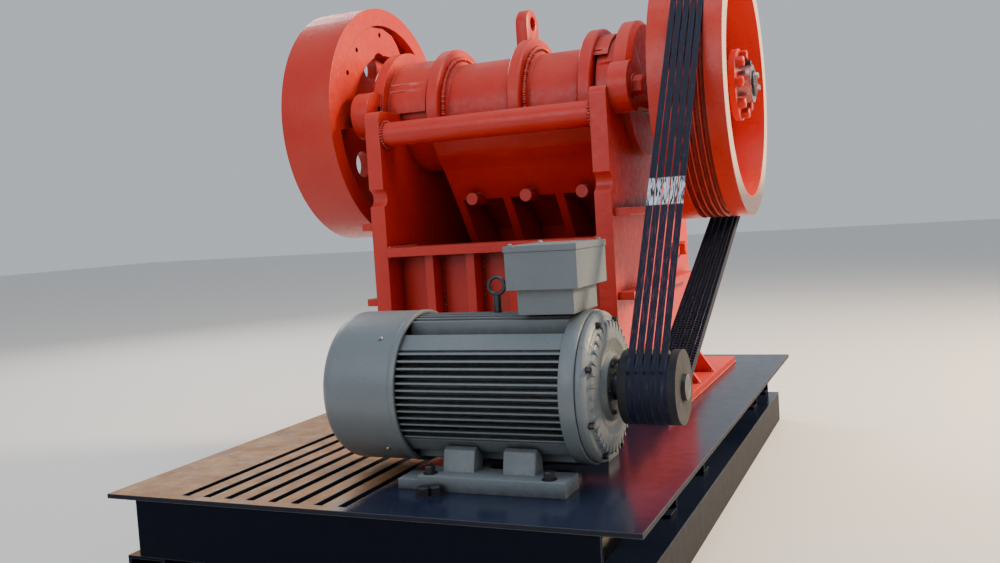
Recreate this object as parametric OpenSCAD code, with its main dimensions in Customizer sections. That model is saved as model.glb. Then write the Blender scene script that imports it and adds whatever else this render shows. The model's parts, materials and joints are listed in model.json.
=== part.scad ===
// Jaw crusher with its electric drive on a steel skid.
// X runs along the eccentric shaft, Y from the motor to the crusher, Z up.
// The origin lies on the ground, under the middle of the skid.

/* [Skid] */
// Width of the deck across the machine
deck_w = 1440; // [1300:10:1700]
// Length of the deck from the motor end to the crusher end
deck_l = 2380; // [2200:10:2800]
// Thickness of the deck plate
deck_t = 12; // [6:1:20]
// Height of the cross beams under the deck
beam_h = 150; // [100:5:220]
// Flange width of a cross beam
beam_flange = 70; // [50:1:100]
// Web and flange thickness of a cross beam
beam_t = 10; // [6:1:14]
// Overhang of the deck past the ends of the cross beams
beam_inset = 92; // [60:1:140]
// Height and width of the ground rails
rail_h = 120; // [80:5:200]
// Wall of the ground rails
rail_t = 8; // [5:1:12]
// Overhang of the deck past the outer face of a rail
rail_inset = 48; // [20:1:80]
// Distance of the slatted bay from the deck's left edge
bay_x = 222; // [150:1:300]
// Length of the slatted bay
bay_l = 900; // [600:10:1000]
// Number of slats in the bay
slat_n = 7; // [4:1:10]
// Pitch of the slats
slat_pitch = 67; // [50:1:80]
// Gap beside a slat
slat_gap = 24; // [12:1:30]

/* [Motor] */
// Shaft height of the motor above its feet
motor_h = 225; // [200:5:250]
// Distance of the motor shaft from the deck's front edge
motor_y = 405; // [380:5:450]
// Place of the drive end face of the frame along X
motor_x = 512; // [480:1:540]
// Length of the finned frame
frame_l = 478; // [400:2:560]
// Radius over the fin tips
fin_r = 190; // [180:1:205]
// Radius of the frame under the fins
core_r = 152; // [140:1:165]
// Pitch of the cooling fins
fin_pitch = 17.5; // [14:0.5:22]
// Thickness of a cooling fin
fin_t = 4.5; // [3:0.5:7]
// Radius of the fan cover
cowl_r = 198; // [190:1:210]
// Length of the fan cover
cowl_l = 222; // [180:2:260]
// Radius of the drive end shield
shield_r = 187; // [175:1:200]
// Thickness of the drive end shield
shield_t = 24; // [16:1:36]
// Radius of the motor pulley
pulley_r = 91; // [80:1:110]
// Width of the motor pulley
pulley_w = 140; // [130:1:170]
// Radius of the motor shaft
motor_shaft_r = 32; // [24:1:40]

/* [Belts] */
// Number of belts
belt_n = 5; // [3:1:6]
// Pitch of the belts and of their grooves
belt_pitch = 20; // [18:0.5:24]
// Width of a belt at its back
belt_w = 17; // [14:0.5:20]
// Thickness of a belt
belt_t = 14; // [10:0.5:16]

/* [Crusher] */
// Height of the eccentric shaft above the deck
shaft_z = 1035; // [980:5:1100]
// Distance of the shaft from the motor shaft
shaft_y = 942; // [880:2:1000]
// Middle of the crusher along X
crusher_x = -32; // [-60:1:0]
// Clear width between the side plates
throat_w = 742; // [700:2:800]
// Thickness of a side plate
plate_t = 54; // [40:1:65]
// Distance from the shaft back to the upper rear edge of the side plates
rear_reach = 357; // [330:1:400]
// Radius of the notch in the rear edge of the side plates
notch_r = 30; // [10:1:40]
// Distance from the shaft forward to the front edge of the side plates
front_reach = 658; // [640:1:700]
// Width of a foot outside its side plate
foot_w = 135; // [100:1:160]
// Thickness of a foot
foot_t = 25; // [16:1:40]
// Radius of the round tie bar
tie_r = 41; // [30:1:50]

/* [Shaft and wheels] */
// Outer radius of both wheels
wheel_r = 421; // [400:1:440]
// Radial thickness of the wheel rims
rim_t = 62; // [45:1:80]
// Width of the flywheel
flywheel_w = 194; // [170:2:220]
// Width of the belt wheel
beltwheel_w = 220; // [180:2:240]
// Thickness of the wheel webs
web_t = 40; // [25:1:60]
// Radius of the wheel hubs
hub_r = 92; // [80:1:120]
// Radius of the shaft in its bearings
shaft_r = 60; // [50:1:70]
// Radius of the eccentric part inside the swing jaw
ecc_r = 80; // [72:1:90]
// Throw of the eccentric
ecc_e = 10; // [6:1:14]
// Angle of the throw at rest, measured from Y towards Z
ecc_a = -47; // [-180:1:180]
// Radius of a bearing housing
housing_r = 246; // [230:1:260]
// Length of a bearing housing
housing_l = 142; // [110:1:150]

/* [Swing jaw] */
// Radius of the swing jaw's head tube
head_r = 184; // [170:1:195]
// Radius of the collars on the head
collar_r = 243; // [220:1:250]
// Gap between the head and a bearing housing
head_gap = 12; // [6:1:20]
// Distance from the shaft to the seat of the moving jaw plate
seat_r = 200; // [190:1:240]
// Tilt of the moving jaw face from upright
jaw_tilt = 15; // [12:0.5:18]
// Thickness of a jaw plate without its teeth
jaw_plate_t = 42; // [30:1:60]
// Height of the jaw plate teeth
tooth_h = 18; // [10:1:26]
// Pitch of the jaw plate teeth
tooth_pitch = 50; // [36:1:70]
// Gap between the jaws at the discharge
discharge_gap = 45; // [30:1:70]
// Height of the lower ends of the jaws above the deck
jaw_foot = 218; // [180:2:260]
// Length of the toggle plate between its round edges
toggle_l = 380; // [340:2:420]
// Thickness of the toggle plate
toggle_t = 34; // [24:1:44]
// Radius of the tension rod
rod_r = 14; // [10:1:20]

/* [Hidden] */
$fn = 96;
run_gap = 0.3;
deck_z = rail_h + beam_h + deck_t;
beam_z = rail_h;
motor_cy = motor_y - deck_l / 2;
motor_cz = deck_z + motor_h;
sy = motor_cy + shaft_y;
sz = deck_z + shaft_z;
x_in_l = crusher_x - throat_w / 2;
x_in_r = crusher_x + throat_w / 2;
x_out_l = x_in_l - plate_t;
x_out_r = x_in_r + plate_t;
plate_top = sz + 6;
shelf_z = deck_z + 577;
belt_x = motor_x + 142;
pulley_x = belt_x - pulley_w / 2;
flywheel_x = x_out_l - 95 - flywheel_w;
beltwheel_x = x_out_r + 145;

orange = "#b0281a";
navy = "#1c2a4a";
grey = "#8b9699";

// Extrudes an outline drawn in Y and Z along X, from x0 over the length w
module along_x(x0, w) {
    translate([x0, 0, 0]) rotate([90, 0, 90]) linear_extrude(w) children();
}

// Cylinder along X from x0 over the length w, round the axis at y, z
module rod_x(x0, w, r, y, z) {
    translate([x0, y, z]) rotate([0, 90, 0]) cylinder(h = w, r = r);
}

// Channel beam along X with its web at the front, y0 is the web's outer face
module channel_x(x0, w, y0, z0, h, flange, t, side) {
    translate([0, y0, z0]) along_x(x0, w) mirror([side < 0 ? 1 : 0, 0]) difference() {
        square([flange, h]);
        translate([t, t]) square([flange, h - 2 * t]);
    }
}

module rail(x0) {
    translate([x0, -deck_l / 2 + 6, 0]) difference() {
        cube([rail_h, deck_l - 12, rail_h]);
        translate([rail_t, -1, rail_t])
            cube([rail_h - 2 * rail_t, deck_l, rail_h - 2 * rail_t]);
    }
}

module rail_left() {
    color(navy) rail(-deck_w / 2 + rail_inset);
}

module rail_right() {
    color(navy) rail(deck_w / 2 - rail_inset - rail_h);
}

module cross_beam(y0, side) {
    channel_x(-deck_w / 2 + beam_inset, deck_w - 2 * beam_inset, y0, beam_z, beam_h, beam_flange, beam_t, side);
}

module front_beam() {
    color(navy) cross_beam(-deck_l / 2 + 4, 1);
}

module rear_beam() {
    color(navy) cross_beam(deck_l / 2 - 4, -1);
}

module middle_beams() {
    color(navy) {
        cross_beam(motor_cy + 260, -1);
        cross_beam(sy - rear_reach + 30, 1);
        cross_beam(sy + front_reach + 60, -1);
    }
}

// Tie between the rails at ground level
module ground_tie() {
    color(navy) translate([-deck_w / 2 + rail_inset + rail_h, -50, 0])
        cube([deck_w - 2 * rail_inset - 2 * rail_h, 100, rail_h]);
}

bay_w = slat_n * slat_pitch + slat_gap;
bay_x0 = -deck_w / 2 + bay_x;
bay_y0 = -deck_l / 2 + 30;
discharge_y0 = sy + 290;
discharge_y1 = sy + front_reach - 40;

module deck_plate() {
    color(navy) difference() {
        translate([-deck_w / 2, -deck_l / 2, deck_z - deck_t]) cube([deck_w, deck_l, deck_t]);
        translate([bay_x0, bay_y0, deck_z - deck_t - 1]) cube([bay_w, bay_l, deck_t + 2]);
        translate([x_in_l + 40, discharge_y0, deck_z - deck_t - 1])
            cube([throat_w - 80, discharge_y1 - discharge_y0, deck_t + 2]);
    }
}

module deck_slats() {
    color(navy) for (i = [0 : slat_n - 1])
        translate([bay_x0 + slat_gap + i * slat_pitch, bay_y0, deck_z - deck_t])
            cube([slat_pitch - slat_gap, bay_l, deck_t]);
}

// Outline of the motor's finned frame, across its axis
module finned_outline() {
    circle(r = core_r);
    intersection() {
        circle(r = fin_r);
        union() {
            for (s = [-1, 1], i = [-6 : 6])
                translate([s > 0 ? 0 : -fin_r, i * fin_pitch - fin_t / 2]) square([fin_r, fin_t]);
            for (s = [-1, 1], i = [-4 : 4])
                translate([i * fin_pitch - fin_t / 2, s > 0 ? 0 : -fin_r]) square([fin_t, fin_r]);
            for (a = [45 : 90 : 315])
                rotate(a) translate([0, -24]) square([fin_r - 6, 48]);
        }
    }
}

module motor_frame() {
    color(grey) translate([0, motor_cy, motor_cz]) {
        along_x(motor_x - frame_l, frame_l - 18) finned_outline();
        rod_x(motor_x - 18, 18, core_r + 22, 0, 0);
    }
}

module fan_cover() {
    color(grey) translate([motor_x - frame_l - cowl_l, motor_cy, motor_cz]) rotate([0, 90, 0]) rotate_extrude()
        polygon([[0, 0], [cowl_r - 18, 0], [cowl_r, 18], [cowl_r, cowl_l], [core_r, cowl_l], [core_r, cowl_l - 3], [cowl_r - 3, cowl_l - 3],
            [cowl_r - 3, 19.2], [cowl_r - 19.2, 3], [0, 3]]);
}

module drive_end_shield() {
    color(grey) difference() {
        union() {
            rod_x(motor_x, shield_t, shield_r, motor_cy, motor_cz);
            rod_x(motor_x + shield_t - 1, 22, 80, motor_cy, motor_cz);
        }
        rod_x(motor_x - 1, shield_t + 30, motor_shaft_r + run_gap, motor_cy, motor_cz);
    }
}

module motor_feet() {
    color(grey) difference() {
        for (s = [-1, 1]) translate([0, motor_cy, deck_z]) {
            translate([motor_x - 470, s > 0 ? 120 : -215, 0]) cube([490, 95, 38]);
            for (x = [motor_x - 332, motor_x - 171])
                translate([x, s > 0 ? 112 : -167, 37]) cube([84, 55, 70]);
        }
        rod_x(motor_x - 490, 530, fin_r + run_gap, motor_cy, motor_cz);
    }
}

tbox_x = motor_x - 185;

module terminal_box() {
    color(grey) {
        translate([tbox_x + 18, motor_cy - 90, motor_cz + fin_r + run_gap]) cube([145, 180, 70]);
        translate([tbox_x, motor_cy - 115, motor_cz + 253]) cube([184, 230, 92]);
    }
}

module terminal_box_lid() {
    color(grey) translate([tbox_x - 2, motor_cy - 117, motor_cz + 345 + run_gap]) cube([188, 234, 15]);
}

module lifting_eyebolt() {
    color("gainsboro") translate([motor_x - 260, motor_cy, motor_cz]) {
        translate([0, 0, fin_r + 41 + 27]) rotate([90, 0, 0]) rotate_extrude() translate([22, 0]) circle(r = 5, $fn = 24);
        translate([0, 0, fin_r + run_gap]) cylinder(h = 44, r = 10);
    }
}

module motor_shaft() {
    color("silver") rod_x(motor_x + 2, belt_x + pulley_w / 2 + 8 - motor_x, motor_shaft_r, motor_cy, motor_cz);
}

module pulley_outline(r, w) {
    depth = belt_t + 3;
    polygon([[motor_shaft_r + run_gap, 0], [r, 0],
        for (i = [0 : belt_n - 1]) let (c = w / 2 + (i - (belt_n - 1) / 2) * belt_pitch)
            each [[r, c - belt_w / 2 - 0.5], [r - depth, c - belt_w / 2 + 4], [r - depth, c + belt_w / 2 - 4], [r, c + belt_w / 2 + 0.5]],
        [r, w], [motor_shaft_r + run_gap, w]]);
}

module motor_pulley() {
    color("#15192b") translate([pulley_x, motor_cy, motor_cz]) rotate([0, 90, 0])
        rotate_extrude() pulley_outline(pulley_r, pulley_w);
}

// Half section of a belt, its back at the radius r and its narrow side inwards
module belt_section(r) {
    polygon([[r - belt_t, -belt_w / 2 + 3.5], [r, -belt_w / 2], [r, belt_w / 2], [r - belt_t, belt_w / 2 - 3.5]]);
}

// Angle of the line between the two shafts, and the half angle by which the runs close in
belt_c = norm([sy - motor_cy, sz - motor_cz]);
belt_a = atan2(sz - motor_cz, sy - motor_cy);
belt_b = asin((wheel_r - pulley_r) / belt_c);

// Arc of a belt round the shaft at y, z, from the angle a0 over the angle a, measured from Y towards Z
module belt_arc(r, y, z, a0, a) {
    translate([0, y, z]) rotate([a0, 0, 0]) rotate([0, 90, 0]) rotate([0, 0, 90])
        rotate_extrude(angle = a) belt_section(r);
}

// Straight run of a belt on the side s, square to the radius at the angle a
module belt_run(a, s) {
    l = belt_c * cos(belt_b);
    translate([0, motor_cy, motor_cz]) rotate([a, 0, 0]) rotate([0, 90, 0]) rotate([0, 0, 90]) rotate([90, 0, 0])
        mirror([0, 0, s < 0 ? 1 : 0]) translate([0, 0, -1]) linear_extrude(l + 2) belt_section(pulley_r);
}

module drive_belts() {
    color("#20243c") for (i = [0 : belt_n - 1])
        translate([belt_x + (i - (belt_n - 1) / 2) * belt_pitch, 0, 0]) {
            belt_arc(pulley_r, motor_cy, motor_cz, belt_a + 90 + belt_b, 180 - 2 * belt_b);
            belt_arc(wheel_r, sy, sz, belt_a - 90 - belt_b, 180 + 2 * belt_b);
            belt_run(belt_a + 90 + belt_b, 1);
            belt_run(belt_a - 90 - belt_b, -1);
        }
}

// Side plate outline in Y and Z
module plate_outline() {
    y0 = sy - rear_reach;
    y1 = sy + front_reach;
    difference() {
        polygon([[y0, deck_z], [y1, deck_z], [y1, plate_top],
            for (a = [90 : 15 : 180]) [y0 + 26 + 26 * cos(a), plate_top - 26 + 26 * sin(a)]]);
        translate([y0 - 6, deck_z + 748]) circle(r = notch_r);
    }
}

module side_plate(x0) {
    difference() {
        along_x(x0, plate_t) plate_outline();
        rod_x(x0 - 1, plate_t + 2, shaft_r + 25, sy, sz);
    }
}

module side_plate_left() {
    color(orange) side_plate(x_out_l);
}

module side_plate_right() {
    color(orange) side_plate(x_in_r);
}

jaw_face_r = seat_r + run_gap + jaw_plate_t + tooth_h;
jaw_top_z = sz - 40;
jaw_bot_z = deck_z + jaw_foot;
function swing_face_y(z) = sy + jaw_face_r / cos(jaw_tilt) + (sz - z) * tan(jaw_tilt);
fixed_face_y = swing_face_y(jaw_bot_z) + discharge_gap;

module front_wall() {
    wy = fixed_face_y + tooth_h + jaw_plate_t;
    color(orange) {
        translate([x_in_l, wy, deck_z + 150]) cube([throat_w, sy + front_reach - wy, plate_top - deck_z - 150]);
        translate([x_in_l, wy - 60, deck_z + 150]) cube([throat_w, 61, 40]);
        for (z = [deck_z + 170, deck_z + 450, deck_z + 730, plate_top - 40])
            translate([x_in_l, sy + front_reach - 1, z]) cube([throat_w, 71, 30]);
    }
}

module rear_wall() {
    z0 = deck_z + 110;
    h = shelf_z - 30 - z0;
    color(orange) difference() {
        union() {
            translate([x_in_l, sy - rear_reach + 100, z0]) cube([throat_w, 40, h]);
            for (x = [-278, -126, 26, 178])
                translate([x, sy - rear_reach + 30, z0]) cube([30, 71, h]);
        }
        translate([crusher_x, sy - rear_reach, rod_z]) rotate([-90, 0, 0]) cylinder(h = 300, r = rod_r + 26);
    }
}

module rear_shelf() {
    color(orange) translate([x_in_l, sy - rear_reach - 4, shelf_z - 30]) cube([throat_w, 200, 30]);
}

module tie_bar() {
    color(orange) rod_x(x_in_l, throat_w, tie_r, sy - rear_reach + 45, sz - 73);
}

module foot(x0) {
    translate([x0, sy - rear_reach + 20, deck_z]) cube([foot_w, 1160, foot_t]);
}

module foot_left() {
    color(orange) {
        foot(x_out_l - foot_w);
        for (y = [0 : 250 : 750]) translate([x_out_l, sy - rear_reach + 70 + y, deck_z + foot_t])
            rotate([90, 0, 0]) linear_extrude(20) polygon([[0, 0], [-foot_w + 10, 0], [0, 180]]);
    }
}

module foot_right() {
    color(orange) {
        foot(x_out_r);
        for (y = [0 : 250 : 750]) translate([x_out_r, sy - rear_reach + 70 + y, deck_z + foot_t])
            rotate([90, 0, 0]) linear_extrude(20) polygon([[0, 0], [foot_w - 10, 0], [0, 180]]);
    }
}

module side_ribs() {
    color(orange) for (z = [deck_z + 380, deck_z + 640]) {
        translate([x_out_r, sy - rear_reach + 20, z]) cube([50, 900, 25]);
        translate([x_out_l - 50, sy - rear_reach + 20, z]) cube([50, 900, 25]);
    }
}

module bearing_housing(x0) {
    difference() {
        union() {
            intersection() {
                rod_x(x0, housing_l, housing_r, sy, sz);
                translate([x0 - 1, sy - 400, plate_top]) cube([housing_l + 2, 800, 400]);
            }
            translate([x0, sy - housing_r - 50, plate_top]) cube([housing_l, 2 * housing_r + 100, 70]);
        }
        rod_x(x0 - 1, housing_l + 2, shaft_r + run_gap, sy, sz);
    }
}

module bearing_housing_left() {
    color(orange) bearing_housing(x_in_l + 16 - housing_l);
}

module bearing_housing_right() {
    color(orange) bearing_housing(x_in_r - 16);
}

head_x0 = x_in_l + 16 + head_gap;
head_x1 = x_in_r - 16 - head_gap;
ecc_y = sy + ecc_e * cos(ecc_a);
ecc_z = sz + ecc_e * sin(ecc_a);

module eccentric_shaft() {
    color("silver") {
        rod_x(flywheel_x - 30, head_x0 - 10 - flywheel_x + 30, shaft_r, sy, sz);
        rod_x(head_x0 - 10, head_x1 - head_x0 + 20, ecc_r, ecc_y, ecc_z);
        rod_x(head_x1 + 10, beltwheel_x + beltwheel_w + 20 - head_x1 - 10, shaft_r, sy, sz);
    }
}

module wheel_blank(w, face_depth) {
    rotate([0, 90, 0]) rotate_extrude()
        polygon([[shaft_r + run_gap, 0], [hub_r, 0], [hub_r, w - face_depth - web_t], [wheel_r - rim_t, w - face_depth - web_t],
            [wheel_r - rim_t, 0], [wheel_r, 0], [wheel_r, w], [wheel_r - rim_t, w],
            [wheel_r - rim_t, w - face_depth], [hub_r, w - face_depth], [hub_r, w], [shaft_r + run_gap, w]]);
}

module flywheel() {
    color(orange) translate([flywheel_x, sy, sz]) difference() {
        union() {
            wheel_blank(flywheel_w, 45);
            intersection() {
                rod_x(flywheel_w - 46, 46, wheel_r - rim_t + 1, 0, 0);
                along_x(flywheel_w - 50, 60) polygon([[0, 0], [-500, -60], [-700, 700], [200, 500]]);
                along_x(flywheel_w - 50, 60) difference() {
                    circle(r = 600);
                    circle(r = 250);
                }
            }
        }
        for (a = [0 : 60 : 300]) rotate([a, 0, 0]) rod_x(-1, flywheel_w + 2, 47, 0, 215);
    }
}

module belt_wheel() {
    rim_in = wheel_r - rim_t;
    face_depth = 110;
    c0 = belt_x - beltwheel_x;
    depth = belt_t + 14;
    color(orange) translate([beltwheel_x, sy, sz]) rotate([0, 90, 0]) rotate_extrude()
        polygon([[shaft_r + run_gap, 0], [hub_r, 0], [hub_r, beltwheel_w - face_depth - web_t], [rim_in, beltwheel_w - face_depth - web_t],
            [rim_in, 0], [wheel_r, 0],
            for (i = [0 : belt_n - 1]) let (c = c0 + (i - (belt_n - 1) / 2) * belt_pitch)
                each [[wheel_r, c - belt_w / 2 - 0.5], [wheel_r - depth, c - belt_w / 2 + 3],
                    [wheel_r - depth, c + belt_w / 2 - 3], [wheel_r, c + belt_w / 2 + 0.5]],
            [wheel_r, beltwheel_w], [rim_in, beltwheel_w],
            [rim_in, beltwheel_w - face_depth], [hub_r, beltwheel_w - face_depth], [hub_r, beltwheel_w - 20], [shaft_r + run_gap, beltwheel_w - 20]]);
}

// Line of the moving jaw's back, offset from the face by d along Y
function swing_y(z, d) = swing_face_y(z) - d / cos(jaw_tilt);

module swing_jaw() {
    d = tooth_h + jaw_plate_t + run_gap;
    w = head_x1 - head_x0;
    color(orange) difference() {
        union() {
            rod_x(head_x0, w, head_r, ecc_y, ecc_z);
            rod_x(head_x0, 173, collar_r, ecc_y, ecc_z);
            rod_x(-88, 154, collar_r, ecc_y, ecc_z);
            rod_x(head_x1 - 96, 96, collar_r, ecc_y, ecc_z);
            along_x(head_x0, w) polygon([[swing_y(jaw_bot_z, d), jaw_bot_z], [swing_y(jaw_top_z, d), jaw_top_z],
                [sy, jaw_top_z], [sy - 100, sz - 106], [sy + 87, sz - 260], [sy + 283, sz - 435],
                [swing_y(jaw_bot_z, d + 50), jaw_bot_z]]);
            for (x = [-285, -100, 85, 255])
                along_x(x, 30) polygon([[swing_y(jaw_bot_z, d + 40), jaw_bot_z + 20], [swing_y(jaw_top_z, d + 40), jaw_top_z - 30],
                    [sy - 150, sz - 100], [sy + 71, sz - 432], [toggle_y1 + 14, toggle_z1 + 90], [toggle_y1 + 14, toggle_z1 - 60]]);
            along_x(-285, 570) polygon([[sy - 150, sz - 100], [sy - 130, sz - 100], [sy + 5, sz - 290], [sy - 25, sz - 290]]);
            along_x(-285, 570) polygon([[sy + 71, sz - 432], [sy + 250, sz - 432], [sy + 250, sz - 412], [sy + 58, sz - 412]]);
            along_x(head_x0, w) polygon([[toggle_y1 + 14, toggle_z1 - 60], [toggle_y1 + 14, toggle_z1 + 60],
                [swing_y(toggle_z1 + 60, d + 10), toggle_z1 + 60], [swing_y(toggle_z1 - 60, d + 10), toggle_z1 - 60]]);
            translate([crusher_x - 30, toggle_y1 + 20, rod_z - 30]) cube([60, swing_y(rod_z, d + 10) - toggle_y1 - 20, 100]);
        }
        rod_x(head_x0 - 1, w + 2, ecc_r + run_gap, ecc_y, ecc_z);
        along_x(head_x0 - 1, w + 2) polygon([[swing_y(jaw_bot_z - 100, d), jaw_bot_z - 100], [swing_y(jaw_top_z, d), jaw_top_z],
            [swing_y(jaw_top_z, d) + 200, jaw_top_z], [swing_y(jaw_bot_z - 100, d) + 200, jaw_bot_z - 100]]);
        rod_x(head_x0 - 1, w + 2, toggle_t / 2 + 6, toggle_y1 - 12, toggle_z1);
    }
}

module jaw_lifting_eye() {
    color(orange) translate([-2, ecc_y, ecc_z + collar_r + run_gap]) rotate([90, 0, 90]) linear_extrude(25) difference() {
        union() {
            translate([-50, 0]) square([100, 60]);
            translate([0, 60]) circle(r = 50);
        }
        translate([0, 55]) circle(r = 22);
    }
}

// Jaw plate with upright teeth, its back on the plane y = 0 and its teeth towards +Y
module toothed_plate(w, h) {
    n = floor(w / tooth_pitch);
    linear_extrude(h) polygon([[-w / 2, 0], [-w / 2, jaw_plate_t],
        for (i = [0 : n - 1]) let (c = (i - (n - 1) / 2) * tooth_pitch)
            each [[c - tooth_pitch / 4, jaw_plate_t], [c - tooth_pitch / 8, jaw_plate_t + tooth_h],
                [c + tooth_pitch / 8, jaw_plate_t + tooth_h], [c + tooth_pitch / 4, jaw_plate_t]],
        [w / 2, jaw_plate_t], [w / 2, 0]]);
}

jaw_w = head_x1 - head_x0;

module swing_jaw_plate() {
    h = (jaw_top_z - jaw_bot_z) / cos(jaw_tilt) - 20;
    color("#5c5a58") translate([(head_x0 + head_x1) / 2, swing_y(jaw_bot_z + 8, tooth_h + jaw_plate_t), jaw_bot_z + 8])
        rotate([jaw_tilt, 0, 0]) toothed_plate(jaw_w, h);
}

module fixed_jaw_plate() {
    color("#5c5a58") translate([crusher_x, fixed_face_y + tooth_h + jaw_plate_t - run_gap, deck_z + 190 + run_gap])
        rotate([0, 0, 180]) toothed_plate(throat_w - 2 * 23, jaw_top_z - deck_z - 190);
}

module cheek_plates() {
    color("#5c5a58") for (x = [x_in_l + run_gap, x_in_r - run_gap - 18])
        along_x(x, 18) polygon([[swing_face_y(jaw_bot_z) - 10, jaw_bot_z], [fixed_face_y - 2, jaw_bot_z],
            [fixed_face_y - 2, jaw_top_z], [swing_face_y(jaw_top_z) - 10, jaw_top_z]]);
}

rod_z = jaw_bot_z + 10;
toggle_w = throat_w - 180;
toggle_y0 = sy - rear_reach + 216;
toggle_z0 = deck_z + 360;
toggle_drop = 30;
toggle_y1 = toggle_y0 + sqrt(pow(toggle_l, 2) - pow(toggle_drop, 2)) + 36;
toggle_z1 = toggle_z0 - toggle_drop;

module toggle_block() {
    color(orange) difference() {
        translate([x_in_l + 20, sy - rear_reach + 140, toggle_z0 - 80]) cube([throat_w - 40, 82, 160]);
        rod_x(x_in_l, throat_w, toggle_t / 2 + run_gap, toggle_y0, toggle_z0);
    }
}

module toggle_plate() {
    color("#4c4a48") translate([crusher_x - toggle_w / 2, toggle_y0, toggle_z0]) rotate([-asin(toggle_drop / toggle_l), 0, 0]) {
        translate([0, 8, -toggle_t / 2 + 6]) cube([toggle_w, toggle_l - 8, toggle_t - 12]);
        rod_x(0, toggle_w, toggle_t / 2, 0, 0);
        rod_x(0, toggle_w, toggle_t / 2, toggle_l, 0);
    }
}

module tension_rod() {
    color("silver") translate([crusher_x, 0, rod_z]) rotate([-90, 0, 0]) {
        translate([0, 0, sy - rear_reach - 90]) cylinder(h = toggle_y1 + 20 - (sy - rear_reach - 90), r = rod_r);
        translate([0, 0, sy - rear_reach - 68]) cylinder(h = 12, r = 48);
        translate([0, 0, sy - rear_reach - 86]) cylinder(h = 18.5, r = 24, $fn = 6);
    }
}

module tension_spring() {
    color("#3a3a3a") translate([crusher_x, sy - rear_reach - 56 + run_gap, rod_z]) rotate([-90, 0, 0]) difference() {
        cylinder(h = 74, r = 45);
        translate([0, 0, -1]) cylinder(h = 76, r = 30);
    }
}

rail_left();
rail_right();
front_beam();
rear_beam();
middle_beams();
ground_tie();
deck_plate();
deck_slats();
motor_frame();
fan_cover();
drive_end_shield();
motor_feet();
terminal_box();
terminal_box_lid();
lifting_eyebolt();
motor_shaft();
motor_pulley();
drive_belts();
side_plate_left();
side_plate_right();
front_wall();
rear_wall();
rear_shelf();
tie_bar();
foot_left();
foot_right();
side_ribs();
bearing_housing_left();
bearing_housing_right();
eccentric_shaft();
flywheel();
belt_wheel();
swing_jaw();
jaw_lifting_eye();
swing_jaw_plate();
fixed_jaw_plate();
cheek_plates();
toggle_block();
toggle_plate();
tension_rod();
tension_spring();
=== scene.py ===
# %% [markdown]
# # A jaw crusher on its steel skid
#
# A jaw crusher squeezes stone between a fixed jaw and a swinging one. An electric motor drives a grooved
# wheel through five V-belts, an eccentric shaft turns the wheel's motion into the short stroke of the jaw,
# and a heavy flywheel on the other side evens it out. The solids come from the construction, in metres.
# What is left to do here is paint, rust and dust, the castings' finer forms, and the small fasteners.

# %% Load the construction
import math
import json
import bmesh
import bpy
from mathutils import Matrix, Vector


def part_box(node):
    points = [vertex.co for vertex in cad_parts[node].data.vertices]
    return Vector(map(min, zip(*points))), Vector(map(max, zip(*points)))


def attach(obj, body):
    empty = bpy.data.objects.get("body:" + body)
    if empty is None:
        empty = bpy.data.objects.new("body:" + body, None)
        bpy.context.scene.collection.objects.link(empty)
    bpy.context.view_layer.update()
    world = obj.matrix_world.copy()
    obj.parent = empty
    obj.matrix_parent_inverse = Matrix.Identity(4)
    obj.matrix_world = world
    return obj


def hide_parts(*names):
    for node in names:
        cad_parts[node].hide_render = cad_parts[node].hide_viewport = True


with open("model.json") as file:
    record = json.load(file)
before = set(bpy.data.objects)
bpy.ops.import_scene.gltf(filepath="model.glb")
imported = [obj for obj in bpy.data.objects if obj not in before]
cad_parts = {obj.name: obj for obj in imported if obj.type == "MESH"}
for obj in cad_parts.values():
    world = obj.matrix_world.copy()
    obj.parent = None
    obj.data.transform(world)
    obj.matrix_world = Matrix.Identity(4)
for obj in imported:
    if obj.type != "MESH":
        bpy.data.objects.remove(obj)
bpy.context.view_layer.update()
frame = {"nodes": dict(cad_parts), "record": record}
BODY = "machine_frame"

# %% [markdown]
# ## The camera
#
# The picture was taken from the belt side, a little below the shaft, with the lens rolled a few degrees.
# The camera is set first, because it doesn't depend on anything else. Its three axes are worked out from
# a heading, a dip and a roll, which are easier to read than a matrix.

# %% Set the camera
CAMERA_AT = Vector((1.254, -3.046, 0.934))
HEADING, DIP, ROLL = math.radians(23.684), math.radians(-3.680), math.radians(-3.600)
FOCAL_MM, SENSOR_MM = 34.75, 36.0


def make_camera():
    ahead = Vector((-math.sin(HEADING) * math.cos(DIP), math.cos(HEADING) * math.cos(DIP), math.sin(DIP)))
    side = Vector((math.cos(HEADING), math.sin(HEADING), 0))
    up = side.cross(ahead)
    right = math.cos(ROLL) * side + math.sin(ROLL) * up
    above = -math.sin(ROLL) * side + math.cos(ROLL) * up
    data = bpy.data.cameras.new("camera")
    data.lens, data.sensor_width, data.sensor_fit = FOCAL_MM, SENSOR_MM, "HORIZONTAL"
    camera = bpy.data.objects.new("camera", data)
    bpy.context.collection.objects.link(camera)
    camera.matrix_world = Matrix((right, above, -ahead)).transposed().to_4x4()
    camera.matrix_world.translation = CAMERA_AT
    bpy.context.scene.camera = camera
    return camera


camera = make_camera()
print("camera at", [round(v, 3) for v in camera.matrix_world.translation])

# %% [markdown]
# ## A small kit for shader trees
#
# Every finish here is the same idea: a base colour, a second colour that noise or a mask brings in, a third
# for dust, and a bump from noise. A little class that adds a node, sets its inputs and returns the socket
# keeps each material down to a few lines.

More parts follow.
